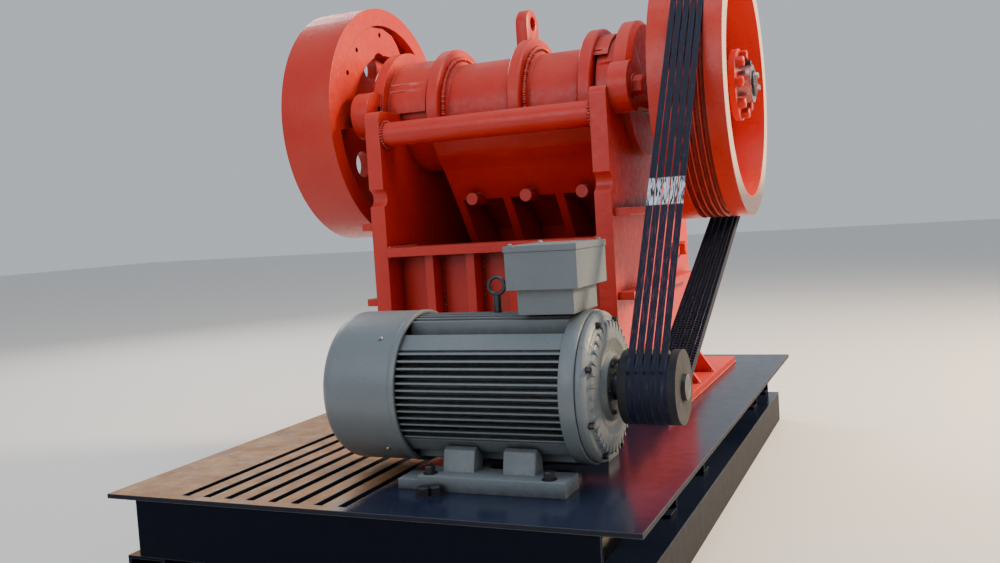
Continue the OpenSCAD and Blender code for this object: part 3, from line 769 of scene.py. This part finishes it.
# %% [markdown]
# ### The jaw's plates in outline
#
# The jaw's face leans, so a function gives the face's Y at any height, and the outlines of the plates behind
# it are written from that line. Each outline is a list of (y, z) pairs.

# %% Outlines of the jaw
def face_y(z, back=0.0):
    """The Y of the leaning face at a height, or of a plane that lies back behind it."""
    t = (z - FACE_FOOT[1]) / (FACE_TOP[1] - FACE_FOOT[1])
    return FACE_FOOT[0] + t * (FACE_TOP[0] - FACE_FOOT[0]) - back


BEHIND = [(-0.30, 1.235)] + BACK + [(0.131, 0.82), (-0.30, 0.82)]
WEB = [(face_y(1.277), 1.277), (0.157, 1.277)] + BACK + [(0.157, 1.010), (0.307, 0.987)]
WEB += [(face_y(0.897, 0.05), 0.897), (face_y(0.500, 0.05), 0.500), FACE_FOOT]
SLAB = [FACE_FOOT, (face_y(1.187), 1.187), (face_y(1.187, 0.04), 1.187), (face_y(0.500, 0.04), 0.500)]
RIB = [(face_y(0.520, 0.04), 0.520), (face_y(1.247, 0.04), 1.247)] + BACK + [(0.157, 0.977), (0.227, 0.871)]
RIB += [(SEAT_Y, 0.702), (SEAT_Y, 0.552)]
SEAT = [(SEAT_Y, 0.552), (SEAT_Y, 0.672), (face_y(0.672, 0.01), 0.672), (face_y(0.552, 0.01), 0.552)]
print("outlines:", len(WEB), len(SLAB), len(RIB), len(SEAT), "corners")

# %% The whole jaw
RIB_W, RIB_OFFSETS = 0.03, (-0.115, 0.085)
LUG_STEP, LUG_SPAN, LUG_Z, JAW_LUG_R = 0.205, (0.065, 0.20), 1.012, 0.022
ROD_EYE_X, ROD_EYE_Z, ROD_EYE_LAP = (-0.062, -0.002), (0.480, 0.580), 0.006
HOOD_X, HOOD_R, HOOD_T, HOOD_LOWEST = (0.304, 0.350), 0.222, 0.0065, 1.443
SPARE = 0.01


def jaw_hood():
    """A thin arched cover over the tube's end on the belts' side."""
    x0, x1 = HOOD_X
    ring = turned([(x0, HOOD_R - HOOD_T), (x0, HOOD_R), (x1, HOOD_R), (x1, HOOD_R - HOOD_T)], ECCENTRIC, 128)
    return combine(ring, [block((0.30, 0.36), (-0.1, 0.5), (HOOD_LOWEST, 1.6))], "INTERSECT")


def make_jaw():
    x0, x1 = HEAD_X
    middle = (x0 + x1) / 2
    head = cut(jaw_head(), [pushed(BEHIND, x0 - SPARE, x1 + SPARE)])
    parts = [pushed(WEB, x0, x1), pushed(SLAB, JAW[0][0], JAW[1][0]), pushed(SEAT, x0, x1)]
    parts.append(block(ROD_EYE_X, (SEAT_Y - ROD_EYE_LAP, face_y(0.510, 0.01)), ROD_EYE_Z))
    ribs_at = [x0, middle + RIB_OFFSETS[0], middle + RIB_OFFSETS[1], x1 - RIB_W]
    parts += [pushed(RIB, x, x + RIB_W) for x in ribs_at]
    parts += [peg(middle + x, LUG_SPAN, LUG_Z, JAW_LUG_R) for x in (-LUG_STEP, 0, LUG_STEP)]
    body = combine(head, parts + [jaw_hood()])
    bore = rod(x0 - SPARE, x1 + SPARE, BORE_R, ECCENTRIC, 96)
    return cut(body, [bore, rod(*GROOVE_X, GROOVE_R, GROOVE_AT)])


keep("jaw_casting", make_jaw(), "swing_jaw", paint_cast, ["swing_jaw"])

# %% [markdown]
# ## The jaw's lifting eye
#
# A flat tab with a round top and one hole takes the crane's hook. It is pushed along X from an outline, and
# its big bevel copies the thick, rounded edge of a cast eye.

# %% The lifting eye
EYE_X, EYE_R, EYE_HOLE_R, EYE_TOP = (-0.011, 0.033), 0.058, 0.023, 1.657
EYE_HOLE_OFF, EYE_SUNK = (0.004, 0.008), 0.015


def make_eye():
    y, z = ECCENTRIC[0], EYE_TOP - EYE_R
    arc = [around(EYE_R, a, (y, z)) for a in range(0, 181, 9)]
    foot = ECCENTRIC[1] + HEAD_R - EYE_SUNK
    tab = pushed(arc + [(y - EYE_R, foot), (y + EYE_R, foot)], *EYE_X)
    hole_at = (y + EYE_HOLE_OFF[0], z + EYE_HOLE_OFF[1])
    return cut(tab, [rod(EYE_X[0] - SPARE, EYE_X[1] + SPARE, EYE_HOLE_R, hole_at)])


keep("jaw_eye", make_eye(), "swing_jaw", paint_cast, ["jaw_lifting_eye"], bevel=0.006)

# %% [markdown]
# ## Bearing housings
#
# Each housing is an arch that stands on the side plate, with a round boss towards the jaw, a saddle on the
# plate's outer face and two round lugs that take its bolts. Depths are counted outwards from the plate, with
# a sign for the side, so one function makes the left housing and the right one.

# %% Housing measures
LEFT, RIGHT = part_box("side_plate_left"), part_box("side_plate_right")
PLATE_TOP, ARCH_R, ARCH_DEEP, ARCH_BEVEL, ARCH_BACK = 1.323, 0.246, 0.046, 0.016, -0.010
SADDLE_R, SADDLE_DEEP, BASE_DEEP, BASE_Z = 0.200, 0.026, 0.054, (1.262, 1.350)
LUG_R, LUG_REACH, LUG_DEEP, LUG_LOW = 0.080, 0.262, 0.062, 0.004
SHAFT_R, BOSS_R, CLEAR_R = 0.0603, 0.192, 0.10
print("plates' outer faces at", round(LEFT[0][0], 3), round(RIGHT[1][0], 3))

# %% Bearing housings
def disc(a, b, radius, centre=WHEEL_AT, steps=48):
    """A round bar between two depths, whichever of them is the lower."""
    return rod(*sorted((a, b)), radius, centre, steps)


def housing(inner, outer, reach_in, side, boss_r):
    """The plate lies between inner and outer, the boss reaches in to reach_in, side is 1 by the belts."""
    def at(depth):
        return outer + side * depth

    front = at(ARCH_DEEP)
    arch = turned([(at(ARCH_BACK), 0), (at(ARCH_BACK), ARCH_R), (at(ARCH_DEEP - ARCH_BEVEL), ARCH_R),
                   (front, ARCH_R - ARCH_BEVEL), (front, 0)], WHEEL_AT)
    above_plate = block((-0.6, 0.6), (-0.3, 0.6), (PLATE_TOP, 1.8))
    boss = disc(reach_in, at(ARCH_BACK), boss_r, steps=96)
    upper = combine(combine(arch, [boss]), [above_plate], "INTERSECT")
    y = WHEEL_AT[0]
    parts = [disc(outer, at(SADDLE_DEEP), SADDLE_R, steps=96),
             block(sorted((outer, at(BASE_DEEP))), (y - LUG_REACH, y + LUG_REACH), BASE_Z),
             disc(reach_in, inner + side * 0.002, BOSS_R, steps=128)]
    for way in (-1, 1):
        parts.append(disc(outer, at(LUG_DEEP), LUG_R, (y + way * LUG_REACH, PLATE_TOP - LUG_LOW)))
    bore = rod(-0.7, 0.7, SHAFT_R, WHEEL_AT, 96)
    recess = disc(reach_in - side * 0.02, inner - side * 0.004, CLEAR_R, steps=64)
    return cut(combine(upper, parts), [bore, recess])


keep("housing_casting_left", housing(LEFT[1][0], LEFT[0][0], -0.301, -1, 0.208), BODY,
     paint_cast, ["bearing_housing_left"], bevel=0.004)
keep("housing_casting_right", housing(RIGHT[0][0], RIGHT[1][0], 0.313, 1, 0.200), BODY,
     paint_cast, ["bearing_housing_right"], bevel=0.004)

# %% [markdown]
# ## The flywheel
#
# The flywheel is a heavy ring on a thin web. Its inner side carries a curved balance weight, which offsets
# the jaw, and six holes lighten the web. The wheel is turned from one outline, the weight is pushed from
# another and trimmed to the rim, and the holes are cut through both.

# %% Flywheel
FLY, WHEEL_R, RIM_IN, WEB_T, FLY_HUB_R, FLY_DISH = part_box("flywheel"), 0.421, 0.359, 0.040, 0.092, 0.045
WEIGHT = [(0, 0), (-0.5, -0.06), (-0.7, 0.7), (-0.12, 0.42), (-0.098, 0.343), (-0.018, 0.348),
          (0.047, 0.332), (0.081, 0.302), (0.100, 0.274), (0.086, 0.236)]
WEIGHT_IN_R, HOLE_R, HOLES_AT_R = 0.25, 0.047, 0.215
SOCKET_R, SOCKETS_AT_R, SOCKET_DEEP, SOCKET_ANGLES = 0.009, 0.325, 0.036, (98, 131, 151)


def make_flywheel():
    x0, x1 = FLY[0][0], FLY[1][0]
    face = x1 - FLY_DISH
    back = face - WEB_T
    outline = [(x0, SHAFT_R), (x0, FLY_HUB_R), (back, FLY_HUB_R), (back, RIM_IN), (x0, RIM_IN), (x0, WHEEL_R),
               (x1, WHEEL_R), (x1, RIM_IN), (face, RIM_IN), (face, FLY_HUB_R), (x1, FLY_HUB_R), (x1, SHAFT_R)]
    weight = pushed([(WHEEL_AT[0] + y, WHEEL_AT[1] + z) for y, z in WEIGHT], face - 0.001, x1 - 0.002)
    inside_rim = rod(face - SPARE, x1 + SPARE, RIM_IN + 0.001, WHEEL_AT, 144)
    weight = combine(weight, [inside_rim], "INTERSECT")
    weight = cut(weight, [rod(face - 0.02, x1 + 0.02, WEIGHT_IN_R, WHEEL_AT, 96)])
    holes = [rod(x0 - SPARE, x1 + SPARE, HOLE_R, around(HOLES_AT_R, a)) for a in range(45, 346, 60)]
    for a in SOCKET_ANGLES:
        holes.append(rod(x1 - SOCKET_DEEP, x1 + SPARE, SOCKET_R, around(SOCKETS_AT_R, a), 16))
    return cut(combine(turned(outline, WHEEL_AT, 144), [weight]), holes)


keep("flywheel_casting", make_flywheel(), "main_shaft", paint_wheel, ["flywheel"])

# %% [markdown]
# ## The belt wheel
#
# The driven wheel has five V grooves in its rim, a deep dish on its outer side and a stepped hub flange. It
# is round all over, so one outline that is spun once makes it, with the grooves as teeth in that outline.

# %% Belt wheel
BELT, BELT_HUB_R, BELT_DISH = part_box("belt_wheel"), 0.114, 0.130
GROOVES = (0.614, 0.634, 0.654, 0.674, 0.694)
GROOVE_TOP, GROOVE_FLOOR, GROOVE_DEEP = 0.009, 0.005, 0.0165
FLANGE_FRONT, FLANGE_BACK, NECK_IN = 0.020, 0.040, (0.030, 0.034)


def make_belt_wheel():
    x0, x1 = BELT[0][0], BELT[1][0]
    web = x1 - BELT_DISH - WEB_T
    floor_r = WHEEL_R - GROOVE_DEEP
    rim = [(x0, RIM_IN), (x0, WHEEL_R)]
    for x in GROOVES:
        rim += [(x - GROOVE_TOP, WHEEL_R), (x - GROOVE_FLOOR, floor_r), (x + GROOVE_FLOOR, floor_r),
                (x + GROOVE_TOP, WHEEL_R)]
    rim += [(x1, WHEEL_R), (x1, RIM_IN), (web + WEB_T, RIM_IN)]
    hub = [(web + WEB_T, BELT_HUB_R - NECK_IN[0]), (x1 - FLANGE_BACK, BELT_HUB_R - NECK_IN[1]),
           (x1 - FLANGE_BACK, BELT_HUB_R), (x1 - FLANGE_FRONT, BELT_HUB_R), (x1 - FLANGE_FRONT, SHAFT_R),
           (x0, SHAFT_R), (x0, BELT_HUB_R), (web, BELT_HUB_R), (web, RIM_IN)]
    return turned(rim + hub, WHEEL_AT, 160)


keep("belt_wheel_casting", make_belt_wheel(), "main_shaft", paint_rim, ["belt_wheel"],
     bevel=0)

# %% [markdown]
# ## The motor's end shield and cowl
#
# The end shield steps in towards the shaft round a shallow dish, and the fan cover is a pressed cup with a
# big round corner. Both are round, so their outlines are spun. Two plain rings mark where the frame's
# machined end and the cowl's rolled edge stand proud.

# %% Shield and cowl
MOTOR_AT = (-0.785, 0.507)
SHIELD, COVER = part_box("drive_end_shield"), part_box("fan_cover")
SHIELD_STEPS = [(0, 0.0325), (0, 0.187), (0.014, 0.187), (0.024, 0.176), (0.024, 0.168), (0.034, 0.160),
                (0.040, 0.120), (0.030, 0.100), (0.030, 0.085), (0.045, 0.080), (0.045, 0.0325)]
COVER_R, COVER_ROUND, COVER_T = 0.198, 0.046, 0.003


def make_shield():
    return turned([(SHIELD[0][0] + x, r) for x, r in SHIELD_STEPS], MOTOR_AT, 128)


def make_cover():
    x0, x1 = COVER[0][0], COVER[1][0]
    angles = [math.radians(a) for a in range(90, -1, -10)]
    bend = [(x0 + COVER_ROUND * (1 - math.sin(a)), COVER_R - COVER_ROUND * (1 - math.cos(a))) for a in angles]
    inner = [(x + COVER_T, r - COVER_T) for x, r in bend][::-1]
    outline = [(x0, 0)] + bend + [(x1, COVER_R), (x1, COVER_R - COVER_T)] + inner + [(x0 + COVER_T, 0)]
    return turned(outline, MOTOR_AT, 128)


def hoop(x0, x1, inner, outer):
    """A plain ring round the motor."""
    return turned([(x0, inner), (x0, outer), (x1, outer), (x1, inner)], MOTOR_AT, 128)


print("shield and cowl outlines ready")

# %% [markdown]
# ## The motor's feet
#
# Each foot is a plate with two pedestals that rise to the motor's frame, and a thinner tongue at its end.
# The two feet are joined, and one long round tool fits them all to the frame.

# %% Feet
FOOT_X, FOOT_Z, TONGUE_X, TONGUE_Z = (0.102, 0.487), (0.282, 0.320), (0.042, 0.104), (0.282, 0.308)
FOOT_REACH, TONGUE_IN, FRAME_FIT_R = (0.120, 0.215), 0.008, 0.1903
PEDESTALS_X, PEDESTAL_W = (0.150, 0.311), 0.084
PEDESTAL = [(0.112, 0.318), (0.168, 0.318), (0.155, 0.372), (0.112, 0.392)]


def make_feet():
    y, shapes = MOTOR_AT[0], []
    for side in (-1, 1):
        low, high = sorted(y + side * reach for reach in FOOT_REACH)
        shapes.append(block(FOOT_X, (low, high), FOOT_Z))
        shapes.append(block(TONGUE_X, (low + TONGUE_IN, high - TONGUE_IN), TONGUE_Z))
        outline = [(y + side * out, z) for out, z in PEDESTAL]
        shapes += [pushed(outline, x, x + PEDESTAL_W) for x in PEDESTALS_X]
    feet = combine(shapes[0], shapes[1:])
    return cut(feet, [rod(0.02, 0.56, FRAME_FIT_R, MOTOR_AT, 96)])


keep("shield_casting", make_shield(), BODY, paint_grey_cast, ["drive_end_shield"])
keep("fan_cowl", make_cover(), BODY, paint_grey, ["fan_cover"], bevel=0)
keep("feet_casting", make_feet(), BODY, paint_grey_cast, ["motor_feet"], bevel=0.003)
keep("frame_end_ring", hoop(0.472, 0.511, 0.160, 0.1915), BODY, paint_grey, bevel=0.002)
keep("cowl_collar", hoop(0.022, 0.040, 0.190, 0.1995), BODY, paint_grey, bevel=0.001)

# %% [markdown]
# ## Ribs in the shield's dish
#
# Short cast ribs stiffen the dish like spokes. They follow a rule, one every ten degrees, so the bar tree
# grows them from a list of points that face outwards from the shaft.

# %% Ribs
RIB_COUNT, RIBS_AT_R, RIBS_DEEP = 36, 0.142, 0.031


def outward(degrees):
    """The direction away from the shaft at an angle."""
    return (0, *around(1.0, degrees, (0, 0)))


spokes = [i * 360 / RIB_COUNT for i in range(RIB_COUNT)]
rib_points = [(SHIELD[0][0] + RIBS_DEEP, *around(RIBS_AT_R, a, MOTOR_AT)) for a in spokes]
grow("shield_ribs", BARS, rib_points, BODY, "motor_paint", axes=[outward(a) for a in spokes],
     Width=0.012, Length=0.006, Height=0.044, Material=paint_grey_cast)

# %% [markdown]
# ## The ring grille on the fan cover
#
# The motor's fan draws air through a guard of round wires at the cowl's closed end. The photograph doesn't
# show that end, and a ring grille is what such motors have. Each point makes one ring, as wide as the
# point's direction is long, and a small circle swept round it gives the wire.

# %% Grille
WIRE_R, FIRST_RING, RING_STEP, RING_COUNT, PROUD = 0.0035, 0.030, 0.018, 7, 0.0005


def grille_tree():
    g = Grower("grille", Wire=NUMBER, Material=PAINT)
    size = g.add("ShaderNodeVectorMath", out=1, settings={"operation": "LENGTH"}, i0=g.facing())
    ring = g.add("GeometryNodeCurvePrimitiveCircle", Resolution=64, Radius=1.0)
    upright = g.add("FunctionNodeEulerToRotation", Euler=g.vector(y=math.pi / 2))
    on = g.add("GeometryNodeInstanceOnPoints", Points=g.given["Points"], Instance=ring,
               Rotation=upright, Scale=g.vector(size, size, size))
    real = g.add("GeometryNodeRealizeInstances", Geometry=on)
    section = g.add("GeometryNodeCurvePrimitiveCircle", Resolution=8, Radius=g.given["Wire"])
    return g.end(g.add("GeometryNodeCurveToMesh", Curve=real, Profile_Curve=section))


GRILLE = grille_tree()
ring_sizes = [FIRST_RING + RING_STEP * i for i in range(RING_COUNT)]
grow("cowl_grille", GRILLE, [(COVER[0][0] - PROUD, *MOTOR_AT)] * RING_COUNT, BODY, "motor_paint",
     axes=[(r, 0, 0) for r in ring_sizes], smooth=True, Wire=WIRE_R, Material=paint_grey)

# %% [markdown]
# ## The shaft's end
#
# On the belt side a key locks the wheel to the shaft, and a dark plate with three bright bolts holds the
# wheel on. They are single pieces, so plain solids do.

# %% Key, plate and bolt helper
ALONG, BACKWARD, UP = (1, 0, 0), (-1, 0, 0), (0, 0, 1)
HUB_X, SHAFT_END_X, PLATE_T, KEY_Y, KEY_Z = (
    BELT[1][0] - FLANGE_FRONT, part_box("eccentric_shaft")[1][0], 0.007, (0.141, 0.173), (1.362, 1.390))


def bolts(name, points, axes, sizes, seed, finish, body=BODY, slot="motor_paint"):
    """A group of bolts: sizes are the width across flats, the head's height and the washer's radius."""
    axes = axes if isinstance(axes, list) else [axes] * len(points)
    across, head, washer = sizes
    grow(name, BOLTS, points, body, slot, axes=axes, Across=across, Head=head, Washer=washer, Seed=seed,
         Material=finish)


key = block((HUB_X - 0.01, SHAFT_END_X - 0.004), KEY_Y, KEY_Z)
keep("shaft_key", key, "main_shaft", black_steel)
plate = rod(SHAFT_END_X, SHAFT_END_X + PLATE_T, 0.042, WHEEL_AT)
keep("shaft_end_plate", plate, "main_shaft", black_steel)

# %% [markdown]
# ## Bolts on the wheels and the housings
#
# Each group of bolts is a list of points, with the way that its heads look, and the bolt tree does the
# rest. A seed for each group keeps the turns of its heads the same in every run.

# %% Bolts of the wheels and housings
bolts("shaft_end_bolts", [(SHAFT_END_X + PLATE_T, *around(0.024, a)) for a in (90, 210, 330)], ALONG,
      (0.017, 0.009, 0.011), 2, steel, "main_shaft", "bare_steel")
bolts("belt_hub_bolts", [(HUB_X, *around(0.092, a)) for a in range(0, 360, 45)], ALONG,
      (0.030, 0.022, 0.017), 3, paint_wheel, "main_shaft", "crusher_paint")
bolts("flywheel_hub_bolts", [(FLY[0][0], *around(0.077, a)) for a in range(0, 360, 60)], BACKWARD,
      (0.020, 0.013, 0.0135), 4, paint_wheel, "main_shaft", "crusher_paint")
LIFT = 0.0001
lug_faces = (RIGHT[1][0] + LUG_DEEP + LIFT, LEFT[0][0] - LUG_DEEP - LIFT)
lug_points = [(x, WHEEL_AT[0] + way * LUG_REACH, PLATE_TOP - LUG_LOW) for x in lug_faces for way in (-1, 1)]
bolts("housing_bolts", lug_points, [ALONG] * 2 + [BACKWARD] * 2, (0.055, 0.030, 0.038), 5, paint_cast,
      slot="crusher_paint")
CHEEK_Y, CHEEK_Z = (0.52, 0.66), (0.78, 1.16)
cheek_points = [(x, y, z) for x in (RIGHT[1][0], LEFT[0][0]) for y in CHEEK_Y for z in CHEEK_Z]
bolts("cheek_bolts", cheek_points, [ALONG] * 4 + [BACKWARD] * 4, (0.046, 0.026, 0.032), 6, paint_cast,
      slot="crusher_paint")

# %% [markdown]
# ## Bolts on the motor and the deck
#
# The end shield, its bearing cap, the feet, the terminal box and the cowl each have their own small screws.
# Two spare bolts lie loose on the deck in front of the foot.

# %% Bolts of the motor
bolts("shield_bolts", [(SHIELD[0][0] + 0.024, *around(0.172, a, MOTOR_AT)) for a in range(22, 360, 45)],
      ALONG, (0.013, 0.010, 0.0085), 7, black_steel)
bolts("cap_bolts", [(SHIELD[0][0] + 0.045, *around(0.066, a, MOTOR_AT)) for a in range(0, 360, 60)],
      ALONG, (0.010, 0.006, 0.007), 8, black_steel)
foot_points = [(x, MOTOR_AT[0] + y, FOOT_Z[1]) for y in (-0.190, 0.190) for x in (0.126, 0.440)]
bolts("foot_bolts", foot_points, UP, (0.024, 0.018, 0.018), 9, black_steel, slot="spring_steel")
bolts("deck_nut", [(0.138, -1.035, FOOT_Z[0]), (0.160, -1.022, FOOT_Z[0])], UP, (0.032, 0.020, 0.023), 10,
      black_steel, slot="spring_steel")

# %% Screws of the box and the cowl
LID, LID_EDGE, SMALL_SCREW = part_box("terminal_box_lid"), 0.014, (0.010, 0.004, 0.007)
COWL_SCREWS_X, COWL_ANGLES = -0.020, (46, 134, 226, 314)
lid_points = [(x, y, LID[1][2]) for x in (LID[0][0] + LID_EDGE, LID[1][0] - LID_EDGE)
              for y in (LID[0][1] + LID_EDGE, LID[1][1] - LID_EDGE)]
bolts("lid_screws", lid_points, UP, SMALL_SCREW, 11, steel)
cowl_points = [(COWL_SCREWS_X, *around(COVER_R + 0.0004, a, MOTOR_AT)) for a in COWL_ANGLES]
bolts("cowl_screws", cowl_points, [outward(a) for a in COWL_ANGLES], SMALL_SCREW, 12, steel)

# %% [markdown]
# ## Weld beads on the jaw
#
# Thick, knobbly beads join the collars to the tube. A line is given by its points, an arc by its centre and
# its angles, and the weld tree sets the ripples along both.

# %% Weld lines of the jaw
BEAD_R, BEAD_OFF, ARC_STEP = 0.207, 0.004, 4


class Lines:
    """Collects straight lines and arcs as points and edges."""

    def __init__(self):
        self.points, self.edges = [], []

    def run(self, points):
        first = len(self.points)
        self.points += points
        self.edges += [(i, i + 1) for i in range(first, first + len(points) - 1)]

    def arc(self, x, radius, start, end, centre, step=ARC_STEP):
        self.run([(x, *around(radius, a, centre)) for a in range(start, end + 1, step)])


jaw_lines = Lines()
for x in COLLARS:
    for edge, way in ((x, -1), (x + COLLAR_W, 1)):
        if HEAD_X[0] + 0.01 < edge < HEAD_X[1] - 0.01:
            jaw_lines.arc(edge + way * BEAD_OFF, BEAD_R, -20, 204, ECCENTRIC)
grow("jaw_welds", WELD, jaw_lines.points, "swing_jaw", "crusher_paint", edges=jaw_lines.edges,
     smooth=True, Radius=0.0095, Step=0.0082, Seed=21, Material=paint_cast)

# %% [markdown]
# ## Weld beads on the frame
#
# The frame is welded from plate, so finer beads run round the tie bar's ends, along the shelf and the rear
# wall's ribs, and along the feet and their gussets. The plates' own boxes give most of the places.

# %% Weld lines of the rear
TIE, SHELF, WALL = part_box("tie_bar"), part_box("rear_shelf"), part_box("rear_wall")
WALL_RIBS_X, WALL_RIB_W, WALL_FACE_Y = (-0.278, -0.126, 0.026, 0.178), 0.030, WALL[0][1] + 0.070
LAP = 0.002
tie_at = ((TIE[0][1] + TIE[1][1]) / 2, (TIE[0][2] + TIE[1][2]) / 2)
tie_r = (TIE[1][2] - TIE[0][2]) / 2
frame_lines = Lines()
for x in (TIE[0][0] + 0.004, TIE[1][0] - 0.004):
    frame_lines.arc(x, tie_r + 0.003, 0, 360, tie_at, 10)
for z in (SHELF[0][2], SHELF[1][2]):
    for x in (SHELF[0][0] + 0.003, SHELF[1][0] - 0.003):
        frame_lines.run([(x, SHELF[0][1] + 0.01, z), (x, SHELF[1][1], z)])
under_shelf = SHELF[0][2] - 0.003
frame_lines.run([(WALL[0][0], WALL_FACE_Y, under_shelf), (WALL[1][0], WALL_FACE_Y, under_shelf)])
for x in WALL_RIBS_X:
    for side in (x - LAP, x + WALL_RIB_W + LAP):
        y = WALL_FACE_Y - LAP
        frame_lines.run([(side, y, WALL[0][2] + 0.01), (side, y, WALL[1][2] - 0.01)])
print("rear lines:", len(frame_lines.edges))

# %% Weld lines of the feet
FOOT_BASE, FOOT_TOP, GUSSET_TOP = 0.284, 0.309, 0.475
GUSSETS_Y, GUSSET_W, GUSSET_REACH = (-0.150, 0.100, 0.350, 0.600), 0.020, 0.115
for name, side in (("foot_left", -1), ("foot_right", 1)):
    low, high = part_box(name)
    edge, plate = (low[0], high[0]) if side < 0 else (high[0], low[0])
    frame_lines.run([(edge, low[1], FOOT_BASE), (edge, high[1], FOOT_BASE)])
    seam = plate + side * 0.003
    frame_lines.run([(seam, low[1] + 0.02, FOOT_TOP), (seam, high[1] - 0.2, FOOT_TOP)])
    for y in GUSSETS_Y:
        for face in (y, y + GUSSET_W):
            riser = plate + side * LAP
            frame_lines.run([(riser, face, 0.31), (riser, face, GUSSET_TOP)])
            frame_lines.run([(plate, face, FOOT_TOP), (plate + side * GUSSET_REACH, face, FOOT_TOP)])
grow("frame_welds", WELD, frame_lines.points, BODY, "crusher_paint", edges=frame_lines.edges,
     smooth=True, Radius=0.0065, Step=0.0095, Seed=22, Material=paint_cast)

# %% [markdown]
# ## The belts' cogs
#
# Raw-edged V-belts are notched on their inner side so that they bend round a small pulley. The lower run
# shows these cogs. The bar tree puts a row of them under each belt, along the line that touches both wheels.

# %% The belts' cogs
COG_PITCH, COG_SINK, PULLEY_R = 0.012, 0.014, 0.091


def cog_rows():
    """Points on the inner side of the lower straight run, across all five belts, and their direction."""
    wheel, pulley = Vector(WHEEL_AT), Vector(MOTOR_AT)
    line = wheel - pulley
    turn = math.atan2(line.y, line.x) - math.pi / 2 - math.asin((WHEEL_R - PULLEY_R) / line.length)
    out = Vector((math.cos(turn), math.sin(turn)))
    start, end = pulley + out * (PULLEY_R - COG_SINK), wheel + out * (WHEEL_R - COG_SINK)
    count = int((end - start).length / COG_PITCH)
    rows = [start.lerp(end, (i + 0.5) / count) for i in range(count)]
    return [(x, p.x, p.y) for x in GROOVES for p in rows], (0, -out.x, -out.y)


cogs, inward = cog_rows()
grow("belt_cogs", BARS, cogs, BODY, "belt_rubber", axes=[inward] * len(cogs),
     Width=0.0105, Length=0.006, Height=0.006, Material=rubber)

# %% [markdown]
# ## Light and floor
#
# A pale floor, a bright overcast sky and four soft lamps: a warm key from the belts' side that grazes the
# wheels, a high one that opens the top, a cool fill from the camera's side and a rim light from behind.

# %% Lamps
def area_light(name, at, to, size, power, colour):
    data = bpy.data.lights.new(name, "AREA")
    data.shape, data.size, data.energy, data.color = "DISK", size, power, colour
    lamp = bpy.data.objects.new(name, data)
    bpy.context.collection.objects.link(lamp)
    lamp.location = at
    lamp.rotation_euler = (Vector(to) - Vector(at)).to_track_quat("-Z", "Y").to_euler()


area_light("key", (5.0, 2.6, 3.4), (0.2, 0.1, 1.0), 1.6, 880, (1.0, 0.74, 0.46))
area_light("high", (1.5, -1.0, 6.0), (0, 0, 0.8), 3.0, 150, (0.90, 0.95, 1.0))
area_light("fill", (-1.5, -6.0, 3.5), (0, -0.4, 0.7), 4.0, 90, (0.92, 0.96, 1.0))
area_light("rim", (-4.5, 3.5, 4.0), (0, 0.2, 1.2), 3.0, 200, (1.0, 0.97, 0.92))
print("lamps:", len(bpy.data.lights))

# %% Floor and sky
FLOOR_HALF, FLOOR_COLOUR, SKY_COLOUR, SKY_STRENGTH = 30, (0.70, 0.69, 0.67, 1), (0.86, 0.92, 1.0, 1), 0.60


def make_floor():
    mesh, f = bpy.data.meshes.new("floor"), FLOOR_HALF
    mesh.from_pydata([(-f, -f, 0), (f, -f, 0), (f, f, 0), (-f, f, 0)], [], [(0, 1, 2, 3)])
    plain = bpy.data.materials.new("pale_floor")
    plain.use_nodes = True
    shader = plain.node_tree.nodes["Principled BSDF"]
    shader.inputs["Base Color"].default_value = FLOOR_COLOUR
    shader.inputs["Roughness"].default_value = 0.8
    mesh.materials.append(plain)
    return link("floor", mesh)


def make_sky():
    world = bpy.data.worlds.new("sky")
    world.use_nodes = True
    background = world.node_tree.nodes["Background"]
    background.inputs[0].default_value = SKY_COLOUR
    background.inputs[1].default_value = SKY_STRENGTH
    bpy.context.scene.world = world


floor = make_floor()
make_sky()
print("stage set")

# %% [markdown]
# ## Close

# %% Close the file
print("script done")
